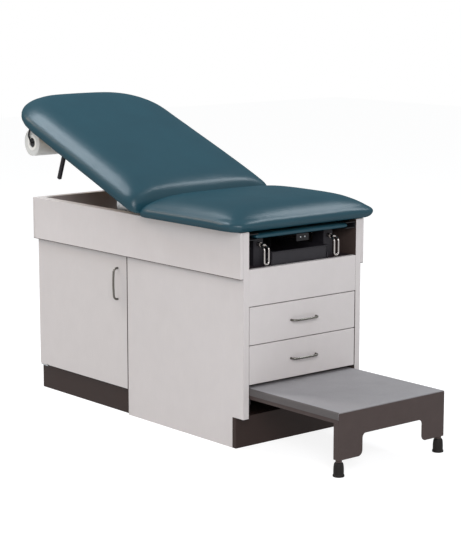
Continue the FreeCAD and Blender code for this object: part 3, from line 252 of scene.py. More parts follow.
def grains(tree, where, size, stretch=(1, 1, 1), detail=3.0):
    """Noise with grains of a size in millimetres, drawn out along the stretched axes."""
    drawn = add(tree, "ShaderNodeMapping", {"Vector": where, "Scale": [1 / s for s in stretch]})
    pattern = {"Vector": drawn.outputs[0], "Scale": 1 / (size * MM), "Detail": detail}
    return add(tree, "ShaderNodeTexNoise", pattern).outputs[0]


def shade(tree, shader, factor, dark, light):
    """Base colour between two shades."""
    mixed = add(tree, "ShaderNodeMix", {0: factor, 6: linear(dark), 7: linear(light)}, data_type="RGBA")
    tree.links.new(mixed.outputs[2], shader.inputs["Base Color"])


def gloss(tree, shader, factor, low, high, socket="Roughness"):
    """Roughness between two values, on the surface or on its coat."""
    spread = add(tree, "ShaderNodeMapRange", {"Value": factor, "To Min": low, "To Max": high})
    tree.links.new(spread.outputs[0], shader.inputs[socket])


def relief(tree, shader, factor, depth, *more):
    """Bump of a depth in millimetres, on the surface and on any further normal socket."""
    bump = add(tree, "ShaderNodeBump", {"Height": factor, "Distance": depth * MM, "Strength": 1.0})
    for socket in ("Normal", *more):
        tree.links.new(bump.outputs[0], shader.inputs[socket])


def upholstery_vinyl():
    """Calendered vinyl with a thin clear coat: an even teal, a soft sheen and a fine leather grain."""
    material, tree, shader, where = finish(
        "vinyl_calendered_teal", Roughness=0.55, Specular_IOR_Level=0.0, Coat_Weight=0.1, Coat_IOR=3.0,
    )
    # The real grain is about 1 mm; it is drawn at 2.4 mm so that it shows.
    cells = add(
        tree, "ShaderNodeTexVoronoi", {"Vector": where, "Scale": 1 / (2.4 * MM)},
        feature="DISTANCE_TO_EDGE",
    ).outputs[0]
    creased = add(tree, "ShaderNodeMapRange", {"Value": cells, "From Max": 0.25}).outputs[0]
    cloud = grains(tree, where, 140)
    shade(tree, shader, cloud, "#183A45", "#1C424D")
    gloss(tree, shader, grains(tree, where, 30), 0.3, 0.35, "Coat Roughness")
    relief(tree, shader, creased, 0.05, "Coat Normal")
    return material


def laminate(name, dark, light, low, high):
    """Melamine laminate pressed on board: flat and satin, with faint upright fibres and mottling."""
    material, tree, shader, where = finish(name, IOR=1.45, Specular_IOR_Level=0.3)
    fibres = grains(tree, where, 1.4, (1, 1, 30))
    cloud = grains(tree, where, 60)
    both = add(tree, "ShaderNodeMath", {0: fibres, 1: cloud}, operation="MULTIPLY_ADD")
    both.inputs[2].default_value = 0.12
    shade(tree, shader, both.outputs[0], dark, light)
    gloss(tree, shader, cloud, low, high)
    relief(tree, shader, fibres, 0.02)
    return material


def birch_plywood(flat):
    """Rotary-cut birch plywood: long wavy figure on the faces and thin plies at the edges."""
    material, tree, shader, where = finish("plywood_birch_sanded", Roughness=0.6)
    turn = flat.to_euler()
    lying = add(tree, "ShaderNodeMapping", {"Vector": where, "Rotation": turn}).outputs[0]
    figure = grains(tree, lying, 9, (14, 1, 1), 4.0)
    plies = add(
        tree, "ShaderNodeTexWave", {"Vector": lying, "Scale": 0.5 / (3 * MM), "Distortion": 0.4},
        bands_direction="Z",
    ).outputs[0]
    both = add(tree, "ShaderNodeMath", {0: figure, 1: plies}, operation="MULTIPLY_ADD")
    both.inputs[2].default_value = 0.2
    shade(tree, shader, both.outputs[0], "#A98555", "#D8B988")
    relief(tree, shader, figure, 0.05)
    return material


def zinc_steel():
    """Bright zinc plate on steel: pale blue-grey metal with cloudy crystals."""
    material, tree, shader, where = finish("steel_zinc_plated", Metallic=1.0)
    crystals = add(tree, "ShaderNodeTexVoronoi", {"Vector": where, "Scale": 1 / (5 * MM)})
    tone = add(tree, "ShaderNodeSeparateColor", {"Color": crystals.outputs["Color"]}).outputs[0]
    shade(tree, shader, tone, "#A9ADB0", "#C4C8CA")
    gloss(tree, shader, tone, 0.28, 0.42)
    return material


def coated_steel(name, dark, light, low, high):
    """Powder-coated steel: one colour with the slight orange peel of melted powder."""
    material, tree, shader, where = finish(name, IOR=1.45, Specular_IOR_Level=0.3)
    peeled = grains(tree, where, 1.6)
    shade(tree, shader, grains(tree, where, 45), dark, light)
    gloss(tree, shader, peeled, low, high)
    relief(tree, shader, peeled, 0.06)
    return material


def plated(name, dark, light, low, high):
    """Plated metal: clear reflections, with fine polishing strokes."""
    material, tree, shader, where = finish(name, Metallic=1.0)
    strokes = grains(tree, where, 0.8)
    shade(tree, shader, strokes, dark, light)
    gloss(tree, shader, strokes, low, high)
    return material


def moulded_plastic(name, dark, light):
    """Black ABS, injection moulded with a fine spark-eroded grain."""
    material, tree, shader, where = finish(name, IOR=1.45, Specular_IOR_Level=0.3)
    grain = grains(tree, where, 0.9)
    shade(tree, shader, grains(tree, where, 25), dark, light)
    gloss(tree, shader, grain, 0.45, 0.58)
    relief(tree, shader, grain, 0.04)
    return material


def tread_matting(name, dark, light):
    """Vulcanised rubber matting: matt grey with small round pebbles and a dusty cast."""
    material, tree, shader, where = finish(name, IOR=1.52, Specular_IOR_Level=0.3)
    pebbles = add(
        tree, "ShaderNodeTexVoronoi", {"Vector": where, "Scale": 1 / (4 * MM), "Smoothness": 0.6},
        feature="SMOOTH_F1",
    ).outputs[0]
    worn = grains(tree, where, 90)
    shade(tree, shader, worn, dark, light)
    gloss(tree, shader, pebbles, 0.55, 0.75)
    relief(tree, shader, pebbles, -0.25)
    return material


def tip_rubber():
    """Moulded black rubber: dull, with a faint bloom."""
    material, tree, shader, where = finish("rubber_moulded_black", IOR=1.45, Specular_IOR_Level=0.25)
    bloom = grains(tree, where, 12)
    shade(tree, shader, bloom, "#141110", "#1E1A18")
    gloss(tree, shader, bloom, 0.6, 0.75)
    return material


def crepe_paper(axis):
    """Wound crepe paper: white and matt, with fine cross wrinkles and its turns' edges at the ends."""
    material, tree, shader, where = finish("paper_crepe_white", IOR=1.4, Roughness=0.9)
    centred = add(tree, "ShaderNodeMapping", {"Vector": where, "Location": [-axis.x, 0, -axis.z]})
    across = {0: centred.outputs[0], 1: (1, 0, 1)}
    spread = add(tree, "ShaderNodeVectorMath", across, operation="MULTIPLY")
    reach = add(tree, "ShaderNodeVectorMath", {0: spread.outputs[0]}, operation="LENGTH")
    wound = {"W": reach.outputs["Value"], "Scale": 1 / (1.1 * MM), "Detail": 2.0}
    turns = add(tree, "ShaderNodeTexNoise", wound, noise_dimensions="1D").outputs[0]
    wrinkles = grains(tree, where, 1.8, (1, 8, 1))
    both = add(tree, "ShaderNodeMath", {0: turns, 1: wrinkles}, operation="ADD")
    half = add(tree, "ShaderNodeMath", {0: both.outputs[0], 1: 0.5}, operation="MULTIPLY")
    # Painted shade: greys below the paper's own white, for the roll's place under the backrest.
    shade(tree, shader, half.outputs[0], "#BDBDB8", "#E2E2DE")
    relief(tree, shader, half.outputs[0], 0.2)
    return material


def card_tube():
    """Spiral-wound card: pale and fibrous."""
    material, tree, shader, where = finish("card_wound_pale", Roughness=0.85)
    fibres = grains(tree, where, 2, (1, 4, 1))
    shade(tree, shader, fibres, "#D9D6CE", "#F1EFEA")
    relief(tree, shader, fibres, 0.1)
    return material


# Meshes
def as_mesh(work, name):
    """The mesh of a finished bmesh, which is then freed."""
    mesh = bpy.data.meshes.new(name)
    work.to_mesh(mesh)
    work.free()
    return mesh


def merged_copy(node):
    """A copy of a CAD node's mesh with its loose triangles joined and flat faces made whole."""
    mesh = nodes[node].data.copy()
    work = bmesh.new()
    work.from_mesh(mesh)
    bmesh.ops.remove_doubles(work, verts=work.verts, dist=JOINED_WITHIN)
    bmesh.ops.dissolve_limit(
        work, angle_limit=math.radians(FLAT_FACE_ANGLE), verts=work.verts, edges=work.edges,
        delimit=set(),
    )
    work.to_mesh(mesh)
    work.free()
    for layer in [a.name for a in mesh.attributes if a.name == "custom_normal"]:
        mesh.attributes.remove(mesh.attributes[layer])
    return mesh


def show(name, mesh):
    """An object for a mesh or other data, put in the scene."""
    obj = bpy.data.objects.new(name, mesh)
    scene.collection.objects.link(obj)
    return obj


def applied(obj):
    """Puts the result of an object's modifiers in its mesh."""
    bpy.context.view_layer.update()
    shown = obj.evaluated_get(bpy.context.evaluated_depsgraph_get())
    mesh = bpy.data.meshes.new_from_object(shown)
    obj.modifiers.clear()
    obj.data = mesh
    return obj


def dressed(obj, material, body, slot, *replaced):
    """Gives a finished piece its material and its body, and hides the nodes it stands for."""
    obj.data.materials.clear()
    obj.data.materials.append(material)
    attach(obj, body)
    if replaced:
        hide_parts(*replaced)
    return obj


def stand_in(obj, material, node):
    """Dresses a piece that takes the place of a node."""
    return dressed(obj, material, body_of[node], slot_of[node], node)


def rounded(obj, angle):
    """Smooth shading, kept crisp where faces meet at more than the angle."""
    obj.data.polygons.foreach_set("use_smooth", [True] * len(obj.data.polygons))
    obj.data.set_sharp_from_angle(angle=math.radians(angle))


def eased(node, material, width):
    """A rigid node with its edges broken as in making, in the node's own shape."""
    obj = show(node + "_eased", merged_copy(node))
    bevel = obj.modifiers.new("Broken edges", "BEVEL")
    bevel.width = width * MM
    bevel.segments = EDGE_SEGMENTS
    bevel.limit_method = "ANGLE"
    bevel.angle_limit = math.radians(EDGE_ANGLE)
    obj.data.polygons.foreach_set("use_smooth", [True] * len(obj.data.polygons))
    flats = obj.modifiers.new("Flat faces", "WEIGHTED_NORMAL")
    flats.keep_sharp = True
    flats.weight = FLAT_FACE_WEIGHT
    applied(obj)
    return stand_in(obj, material, node)


def split_across(mesh, way, reach):
    """Splits the faces of a mesh where they pass a plane square to a direction."""
    work = bmesh.new()
    work.from_mesh(mesh)
    everything = work.verts[:] + work.edges[:] + work.faces[:]
    bmesh.ops.bisect_plane(work, geom=everything, plane_co=way * reach, plane_no=way)
    work.to_mesh(mesh)
    work.free()


def faced(mesh, material, chosen):
    """Another material on the chosen faces of a piece."""
    place = len(mesh.materials)
    mesh.materials.append(material)
    for face in mesh.polygons:
        if chosen(face):
            face.material_index = place


def lined(node, way):
    """Inner face of a panel: one sheet in the well, and a darker one past the partition as painted shade."""
    mesh = bpy.data.objects[node + "_eased"].data
    low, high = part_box("partition")
    middle = (low.x + high.x) / 2
    split_across(mesh, Vector((1, 0, 0)), middle)

    def inward(face):
        return face.normal.dot(way) > INNER_FACING

    faced(mesh, inner_sheet, lambda face: inward(face) and face.center.x < middle)
    faced(mesh, painted_shade_sheet, lambda face: inward(face) and face.center.x > middle)


def core_and_shadow_line(node, way):
    """The laminate's dark core along an edge, widened into a line of painted shadow."""
    mesh = bpy.data.objects[node + "_eased"].data
    line = max(point.co.dot(way) for point in mesh.vertices) - CORE_AND_SHADOW_LINE
    split_across(mesh, way, line)
    faced(mesh, core_and_painted_shadow, lambda face: face.center.dot(way) > line)


def lathe(name, profile, centre):
    """Turned piece about an upright axis from (radius, height) points in millimetres."""
    work = bmesh.new()
    points = [work.verts.new(centre + Vector((r * MM, 0, z * MM))) for r, z in profile]
    edges = [work.edges.new(pair) for pair in zip(points, points[1:])]
    bmesh.ops.spin(
        work, geom=points + edges, cent=centre, axis=(0, 0, 1), angle=math.tau, steps=TURNING_STEPS,
        use_merge=True,
    )
    bmesh.ops.remove_doubles(work, verts=work.verts, dist=0.01 * MM)
    bmesh.ops.recalc_face_normals(work, faces=work.faces)
    return as_mesh(work, name)


def filleted(points, bends):
    """The points of a path whose inner corners are arcs of the given radii."""
    path = [points[0]]
    for before, corner, after, radius in zip(points, points[1:], points[2:], bends):
        back = (before - corner).normalized()
        ahead = (after - corner).normalized()
        half = back.angle(ahead) / 2
        centre = corner + (back + ahead).normalized() * (radius / math.sin(half))
        start = corner + back * (radius / math.tan(half)) - centre
        end = corner + ahead * (radius / math.tan(half)) - centre
        for i in range(BEND_STEPS + 1):
            path.append(centre + start.normalized().slerp(end.normalized(), i / BEND_STEPS) * radius)
    return path + [points[-1]]


def bent_wire(name, path, radius):
    """Round bar along a path of points, with closed ends."""
    curve = bpy.data.curves.new(name, "CURVE")
    curve.dimensions = "3D"
    curve.bevel_depth = radius
    curve.bevel_resolution = WIRE_ROUNDNESS
    curve.use_fill_caps = True
    spline = curve.splines.new("POLY")
    spline.points.add(len(path) - 1)
    for point, place in zip(spline.points, path):
        point.co = (*place, 1)
    maker = show(name + "_path", curve)
    bpy.context.view_layer.update()
    shown = maker.evaluated_get(bpy.context.evaluated_depsgraph_get())
    mesh = bpy.data.meshes.new_from_object(shown)
    bpy.data.objects.remove(maker)
    obj = show(name, mesh)
    rounded(obj, WIRE_CREASE)
    return obj


# Geometry Nodes
def node_tree(name, inputs):
    """A geometry tree with named inputs; gives the tree, its inputs' sockets and their identifiers."""
    tree = bpy.data.node_groups.new(name, "GeometryNodeTree")
    tree.interface.new_socket("Geometry", in_out="INPUT", socket_type="NodeSocketGeometry")
    tree.interface.new_socket("Geometry", in_out="OUTPUT", socket_type="NodeSocketGeometry")
    keys = {
        label: tree.interface.new_socket(label, in_out="INPUT", socket_type=kind).identifier
        for label, kind in inputs.items()
    }
    return tree, tree.nodes.new("NodeGroupInput").outputs, keys


def close_tree(tree, instances, material):
    """Ends a tree with its instances made real and painted."""
    whole = add(tree, "GeometryNodeRealizeInstances", {"Geometry": instances})
    painted = add(tree, "GeometryNodeSetMaterial", {"Geometry": whole.outputs[0], "Material": material})
    add(tree, "NodeGroupOutput", {"Geometry": painted.outputs[0]})


def laid_along(tree, direction, axis, low, high, seed):
    """A rotation that lays an axis along a direction, then turns at random about its own upright."""
    turn = add(tree, "FunctionNodeAlignRotationToVector", {"Vector": direction}, axis=axis)
    spin = add(tree, "FunctionNodeRandomValue", {2: low, 3: high, "Seed": seed}, data_type="FLOAT")
    about = add(tree, "FunctionNodeAxisAngleToRotation", {"Axis": (0, 0, 1), "Angle": spin.outputs[1]})
    both = {"Rotation": turn.outputs[0], "Rotate By": about.outputs[0]}
    return add(tree, "FunctionNodeRotateRotation", both, rotation_space="LOCAL").outputs[0]


def screw_tree(material):
    """Sets a screw head on every point, turned to the point's facing."""
    tree, given, keys = node_tree("Screw heads", {
        "Head": "NodeSocketObject", "Radius": "NodeSocketFloat",
    })
    head = add(tree, "GeometryNodeObjectInfo", {"Object": given["Head"]})
    facing = add(tree, "GeometryNodeInputNamedAttribute", {"Name": "facing"}, data_type="FLOAT_VECTOR")
    turn = laid_along(tree, facing.outputs[0], "Z", 0.0, math.tau, SCREW_SEED)
    heads = add(tree, "GeometryNodeInstanceOnPoints", {
        "Points": given["Geometry"], "Instance": head.outputs["Geometry"],
        "Rotation": turn, "Scale": given["Radius"],
    })
    close_tree(tree, heads.outputs[0], material)
    return tree, keys


def staple_tree(material):
    """Lays staples along an edge at an even pitch, each a little askew."""
    tree, given, keys = node_tree("Staples", {
        "Pitch": "NodeSocketFloat", "Crown": "NodeSocketFloat", "Wire": "NodeSocketFloat",
    })
    line = add(tree, "GeometryNodeMeshToCurve", {"Mesh": given["Geometry"]})
    even = {"Curve": line.outputs[0], "Length": given["Pitch"]}
    spaced = add(tree, "GeometryNodeResampleCurve", even, mode="LENGTH")
    along = add(tree, "GeometryNodeInputTangent")
    turn = laid_along(tree, along.outputs[0], "X", -STAPLE_SKEW, STAPLE_SKEW, STAPLE_SEED)
    half = add(tree, "ShaderNodeMath", {0: given["Crown"], 1: 0.5}, operation="MULTIPLY").outputs[0]
    left = add(tree, "ShaderNodeMath", {0: half, 1: -1.0}, operation="MULTIPLY").outputs[0]
    ends = [add(tree, "ShaderNodeCombineXYZ", {"X": end}).outputs[0] for end in (left, half)]
    bar = add(tree, "GeometryNodeCurvePrimitiveLine", {"Start": ends[0], "End": ends[1]})
    ring = add(tree, "GeometryNodeCurvePrimitiveCircle", {
        "Resolution": STAPLE_SIDES, "Radius": given["Wire"],
    })
    staple = add(tree, "GeometryNodeCurveToMesh", {
        "Curve": bar.outputs[0], "Profile Curve": ring.outputs[0], "Fill Caps": True,
    })
    laid = add(tree, "GeometryNodeInstanceOnPoints", {
        "Points": spaced.outputs[0], "Instance": staple.outputs[0], "Rotation": turn,
    })
    close_tree(tree, laid.outputs[0], material)
    return tree, keys


def grown(obj, tree, values):
    """Runs a geometry tree on an object and keeps the plain mesh it gives."""
    modifier = obj.modifiers.new(tree.name, "NODES")
    modifier.node_group = tree
    for key, value in values.items():
        modifier[key] = value
    return applied(obj)


# The backrest's flat position, from its joint
tilt = joints["backrest_tilt"]
hinge = Vector(tilt["pos_m"])
lay_flat = (
    Matrix.Translation(hinge)
    @ Matrix.Rotation(math.radians(tilt["range_deg"][0]), 4, Vector(tilt["axis"]))
    @ Matrix.Translation(-hinge)
)
raise_up = lay_flat.inverted()
level = Matrix.Identity(4)


def flat_box(node):
    """Lowest and highest corners of a backrest node with the backrest laid flat."""
    places = [lay_flat @ v.co for v in nodes[node].data.vertices]
    return (
        Vector([min(p[i] for p in places) for i in range(3)]),
        Vector([max(p[i] for p in places) for i in range(3)]),
    )


# Upholstered pieces
def points_of(mesh):
    """Places and outward normals of a mesh's vertices."""
    return np.array([v.co for v in mesh.vertices]), np.array([n.vector for n in mesh.vertex_normals])


def beside(mesh):
    """A function that gives each vertex the mean of its neighbours' values."""
    ends = np.empty(len(mesh.edges) * 2, int)
    mesh.edges.foreach_get("vertices", ends)
    first, second = ends[::2], ends[1::2]
    total = len(mesh.vertices)
    shared = np.maximum(np.bincount(ends, minlength=total), 1)

    def mean(values):
        gathered = np.bincount(first, values[second], total) + np.bincount(second, values[first], total)
        return gathered / shared

    return mean


def stuffed(obj, held, swell):
    """Swells a cover by cloth under pressure, held where it is stapled, and caps how far it moves."""
    start = np.array([v.co for v in obj.data.vertices])
    group = obj.vertex_groups.new(name="stapled")
    group.add([int(i) for i in np.flatnonzero(held)], 1.0, "REPLACE")
    cloth = obj.modifiers.new("Stuffing", "CLOTH")
    cloth.settings.quality = CLOTH_QUALITY
    cloth.settings.mass = CLOTH_MASS
    cloth.settings.tension_stiffness = CLOTH_STIFFNESS
    cloth.settings.compression_stiffness = CLOTH_STIFFNESS
    cloth.settings.bending_stiffness = CLOTH_BENDING
    cloth.settings.use_pressure = True
    cloth.settings.uniform_pressure_force = CLOTH_PRESSURE
    cloth.settings.vertex_group_mass = "stapled"
    cloth.settings.effector_weights.gravity = 0
    cloth.collision_settings.use_collision = False
    cloth.point_cache.frame_start = 1
    cloth.point_cache.frame_end = CLOTH_FRAMES
    for step in range(1, CLOTH_FRAMES + 1):
        scene.frame_set(step)
    shown = obj.evaluated_get(bpy.context.evaluated_depsgraph_get()).data
    moved = np.array([v.co for v in shown.vertices]) - start
    obj.modifiers.clear()
    obj.vertex_groups.clear()
    scene.frame_set(1)
    mean = beside(obj.data)
    for _ in range(SWELL_PASSES):
        moved = np.stack([mean(moved[:, i]) for i in range(3)], axis=1)
    reach = np.linalg.norm(moved, axis=1)
    moved *= np.minimum(1.0, swell / np.maximum(reach, 1e-9))[:, None]
    obj.data.vertices.foreach_set("co", (start + moved).ravel())


def even_cover(node, name, turn, voxel, passes):
    """The node's solid as an even mesh of small squares with soft edges, lying flat."""
    mesh = merged_copy(node)
    mesh.transform(turn)
    obj = show(name, mesh)
    weave = obj.modifiers.new("Even mesh", "REMESH")
    weave.mode = "VOXEL"
    weave.voxel_size = voxel
    soften = obj.modifiers.new("Soft edges", "SMOOTH")
    soften.factor = COVER_SMOOTHING
    soften.iterations = passes
    return applied(obj)


def even_crown(obj):
    """Lays a pad's top as one smooth swell that rises from its rolled edges to the crown's height."""
    places, outward = points_of(obj.data)
    free = outward[:, 2] > PAD_CROWN_FACING
    height = places[:, 2].copy()
    peak = height.max() + PAD_CROWN_EXTRA
    pull = 4 * (PAD_CROWN_REACH / PAD_VOXEL) ** 2
    mean = beside(obj.data)
    for _ in range(PAD_CROWN_ROUNDS):
        height[free] = (peak + pull * mean(height)[free]) / (1 + pull)
    places[:, 2] = height
    obj.data.vertices.foreach_set("co", places.ravel())
    obj.data.update()


def finish_cover(obj, turn, levels):
    """Evens out the stuffed cover, adds the slight unevenness of foam and puts it in place."""
    soften = obj.modifiers.new("Evened", "SMOOTH")
    soften.factor = COVER_SMOOTHING
    soften.iterations = COVER_EVEN_PASSES
    if levels:
        fine = obj.modifiers.new("Fine", "SUBSURF")
        fine.levels = levels
        fine.render_levels = levels
    applied(obj)
    places, outward = points_of(obj.data)
    lift = np.array([noise.noise(Vector(p) / PAD_UNEVEN_SIZE) for p in places]) * PAD_UNEVEN
    obj.data.vertices.foreach_set("co", (places + outward * lift[:, None]).ravel())
    obj.data.transform(turn.inverted())
    obj.data.polygons.foreach_set("use_smooth", [True] * len(obj.data.polygons))


def pad(node, turn):
    """A stapled pad: full at its sides and corners, and left as cut where the two pads meet."""
    obj = even_cover(node, node + "_cover", turn, PAD_VOXEL, PAD_EDGE_PASSES)
    even_crown(obj)
    places, outward = points_of(obj.data)
    low = places[:, 2].min()
    free_end = places[np.argmax(np.abs(places[:, 0] - hinge.x)), 0]
    ease = np.clip(np.abs(places[:, 0] - hinge.x) / PAD_HINGE_EASE, 0.0, 1.0) ** 2
    full = PAD_FULLNESS * np.clip((places[:, 2] - low) / PAD_FULL_FROM, 0.0, 1.0)
    if node == "seat_pad":
        for y in (places[:, 1].min(), places[:, 1].max()):
            apart = np.hypot(places[:, 0] - free_end, places[:, 1] - y)
            full += SEAT_CORNER_FULLNESS * np.clip(1 - apart / SEAT_CORNER_REACH, 0.0, 1.0)
    upward = np.clip((outward[:, 2] - PAD_SIDE_FACING) / PAD_TOP_FADE, 0.0, 1.0)
    full *= ease * (outward[:, 2] > PAD_UNDERSIDE_FACING) * (1 - upward)
    obj.data.vertices.foreach_set("co", (places + outward * full[:, None]).ravel())
    held = (outward[:, 2] < PAD_UNDERSIDE_FACING) | (places[:, 2] < low + PAD_STAPLED_HEIGHT)
    stuffed(obj, held, PAD_SWELL * ease)
    finish_cover(obj, turn, 1)
    stand_in(obj, vinyl, node)


def leg_rest():
    """Thin upholstered panel, held flat along the edges that run in its rails."""
    node = "leg_rest_panel"
    obj = even_cover(node, "leg_rest_cover", level, LEG_REST_VOXEL, LEG_REST_EDGE_PASSES)
    low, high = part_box(node)
    railed = (low.y + LEG_REST_HELD_EDGE, high.y - LEG_REST_HELD_EDGE)
    held = np.array([
        v.normal.z < LEG_REST_TOP_FACING or v.co.y < railed[0] or v.co.y > railed[1]
        for v in obj.data.vertices
    ])
    stuffed(obj, held, LEG_REST_SWELL)
    finish_cover(obj, level, 0)
    stand_in(obj, vinyl, node)


def board_outline(inset):
    """Points round the backrest board's underside, drawn in by an inset, with its round head end."""
    low, high = flat_box("backrest_board")
    corner = HEAD_BOARD_CORNER - inset
    x0, x1 = low.x + inset, high.x - inset
    y0, y1 = low.y + inset, high.y - inset
    points = [Vector((x1, y0, low.z))]
    for centre, start in (((x0 + corner, y0 + corner), 270), ((x0 + corner, y1 - corner), 180)):
        for i in range(BEND_STEPS * 2 + 1):
            angle = math.radians(start - 90 * i / (BEND_STEPS * 2))
            spot = (centre[0] + corner * math.cos(angle), centre[1] + corner * math.sin(angle), low.z)
            points.append(Vector(spot))
    return points + [Vector((x1, y1, low.z))]


def vinyl_wrap():
    """The cover's edge, drawn over the board's underside and stapled there."""
    outer = board_outline(-WRAP_OUT)
    inner = board_outline(WRAP_IN)
    down = Vector((0, 0, -WRAP_DROP))
    work = bmesh.new()
    rows = [[work.verts.new(p + down) for p in line] for line in (outer, inner)]
    count = len(outer)
    for i in range(count):
        j = (i + 1) % count
        work.faces.new((rows[0][i], rows[0][j], rows[1][j], rows[1][i]))
    bmesh.ops.recalc_face_normals(work, faces=work.faces)
    obj = show("backrest_wrap", as_mesh(work, "backrest_wrap"))
    wall = obj.modifiers.new("Wall", "SOLIDIFY")
    wall.thickness = WRAP_THICKNESS
    wall.offset = 0.0
    applied(obj)
    obj.data.transform(raise_up)
    return dressed(obj, vinyl, "backrest", "teal_vinyl")


def staples():
    """Staples round the board, through the vinyl's edge."""
    line = board_outline(STAPLE_EDGE)
    mesh = bpy.data.meshes.new("backrest_staples")
    drop = Vector((0, 0, -WRAP_THICKNESS * 2))
    mesh.from_pydata([p + drop for p in line], [(i, i + 1) for i in range(len(line) - 1)], [])
    obj = show("backrest_staples", mesh)
    tree, keys = staple_tree(zinc)
    grown(obj, tree, {
        keys["Pitch"]: STAPLE_PITCH, keys["Crown"]: STAPLE_CROWN, keys["Wire"]: STAPLE_WIRE,
    })
    obj.data.transform(raise_up)
    return dressed(obj, zinc, "backrest", "zinc_steel")


# Wire pulls and heel loops
def wire_pull(node, out, along):
    """Pull bent from round bar: two legs and a slightly bowed grip."""
    low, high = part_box(node)
    middle = (low + high) / 2
    size = high - low
    span = abs(size.dot(along)) / 2 - PULL_WIRE
    stand = abs(size.dot(out))
    base = middle - out * (stand / 2)
    side = stand - PULL_WIRE - PULL_BOW
    points = [
        base - along * span, base - along * span + out * side, base + out * (side + PULL_BOW),
        base + along * span + out * side, base + along * span,
    ]
    bow = span * span / (2 * PULL_BOW)
    obj = bent_wire(node + "_wire", filleted(points, [PULL_BEND, bow, PULL_BEND]), PULL_WIRE)
    return stand_in(obj, nickel, node)


def heel_loop(side):
    """Loop of round bar that hangs by its turned-in ends."""
    node = side + "_heel_loop"
    low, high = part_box(node)
    pin = Vector(joints[side + "_loop_fold"]["pos_m"])
    forward = high.x - LOOP_WIRE
    bottom = low.z + LOOP_WIRE
    half = (high.y - low.y) / 2 - LOOP_WIRE
    points = []
    for way in (-1, 1):
        out = pin.y + way * half
        leg = [
            Vector((pin.x, pin.y + way * LOOP_END_GAP, pin.z)), Vector((pin.x, out, pin.z)),
            Vector((forward, out, pin.z - LOOP_SHOULDER)), Vector((forward, out, bottom)),
        ]
        points += leg if way < 0 else leg[::-1]
    bends = [LOOP_END_BEND, LOOP_BEND, LOOP_BEND]
    obj = bent_wire(node + "_wire", filleted(points, bends + bends[::-1]), LOOP_WIRE)
    return stand_in(obj, chrome, node)


# Turned and wound pieces
def rubber_tips():
    """Crutch tips: a flared foot, a full belly and a rounded shoulder at the leg tube."""
    node = "step_rubber_tips"
    low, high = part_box(node)
    work = bmesh.new()
    for y in (low.y + TIP_FOOT, high.y - TIP_FOOT):
        work.from_mesh(lathe(node, TIP_PROFILE_MM, Vector((high.x - TIP_FOOT, y, low.z))))
    obj = show(node + "_moulded", as_mesh(work, node))
    rounded(obj, TIP_CREASE)
    return stand_in(obj, tip, node)


def step_tread():
    """Matting laid over the tray and turned down over its sides; sides and soft edges in painted shade."""
    node = "step_tread_mat"
    low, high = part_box(node)
    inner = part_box("step_tray")[1].y + TREAD_GAP
    outer = inner + TREAD_WALL
    bottom = high.z - TREAD_SKIRT
    half = [(inner, low.z), (inner, bottom), (outer, bottom)]
    for i in range(BEND_STEPS + 1):
        angle = math.radians(90 * i / BEND_STEPS)
        half.append((
            outer - TREAD_ROUND * (1 - math.cos(angle)), high.z - TREAD_ROUND * (1 - math.sin(angle)),
        ))
    profile = half + [(-y, z) for y, z in reversed(half)]
    work = bmesh.new()
    ends = [[work.verts.new((x, y, z)) for y, z in profile] for x in (low.x, high.x)]
    work.faces.new(ends[0])
    work.faces.new(reversed(ends[1]))
    for i in range(len(profile)):
        j = (i + 1) % len(profile)
        work.faces.new((ends[0][j], ends[0][i], ends[1][i], ends[1][j]))
    bmesh.ops.recalc_face_normals(work, faces=work.faces)
    obj = show(node + "_laid", as_mesh(work, node))
    rounded(obj, SHEET_CREASE)
    stand_in(obj, rigid_finishes["tread_rubber"][0], node)
    # Painted shade: the turned-down sides and rounded edges in a darker grey of the same matting.
    painted_shade_matting = tread_matting("rubber_matting_painted_shade", "#4C4847", "#5A5554")
    faced(obj.data, painted_shade_matting, lambda face: abs(face.center.y) > outer - TREAD_ROUND)
    return obj


def paper_arms():
    """The roll's holder: at each end a foot plate, a bar bent down and into the core, and a hub."""
    node = "paper_holder"
    axis = lay_flat @ Vector(joints["paper_spin"]["pos_m"])
    under = flat_box("backrest_board")[0].z
    roll_end = flat_box("paper_roll")[1].y
    core_low, core_high = flat_box("paper_core")
    bore = (core_high.z - core_low.z) / 2 - CORE_WALL - HUB_GAP
    work = bmesh.new()
    for way in (-1, 1):
        end = way * roll_end
        beside_end = end + way * (ARM_BAR + ARM_END_GAP)
        knee = axis + Vector((-ARM_SIDEWAYS, 0, ARM_KNEE))
        path = filleted([
            Vector((knee.x, beside_end, under)), Vector((knee.x, beside_end, knee.z)),
            Vector((axis.x, beside_end, axis.z)), Vector((axis.x, end - way * ARM_IN_CORE, axis.z)),
        ], [ARM_BEND, ARM_END_BEND])
        hub = [Vector((axis.x, end - way * reach, axis.z)) for reach in (HUB_RECESS, HUB_LENGTH)]
        for piece in (bent_wire(node, path, ARM_BAR), bent_wire(node, hub, bore)):
            work.from_mesh(piece.data)
            bpy.data.objects.remove(piece)
        place = Vector((axis.x, beside_end - way * FOOT_SIZE[1] / 2, under - FOOT_SIZE[2] / 2))
        foot = Matrix.Translation(place) @ Matrix.Diagonal((*FOOT_SIZE, 1))
        bmesh.ops.create_cube(work, size=1.0, matrix=foot)
    mesh = as_mesh(work, node)
    mesh.transform(raise_up)
    obj = show(node + "_bent", mesh)
    rounded(obj, WIRE_CREASE)
    return stand_in(obj, rigid_finishes["black_steel"][0], node)


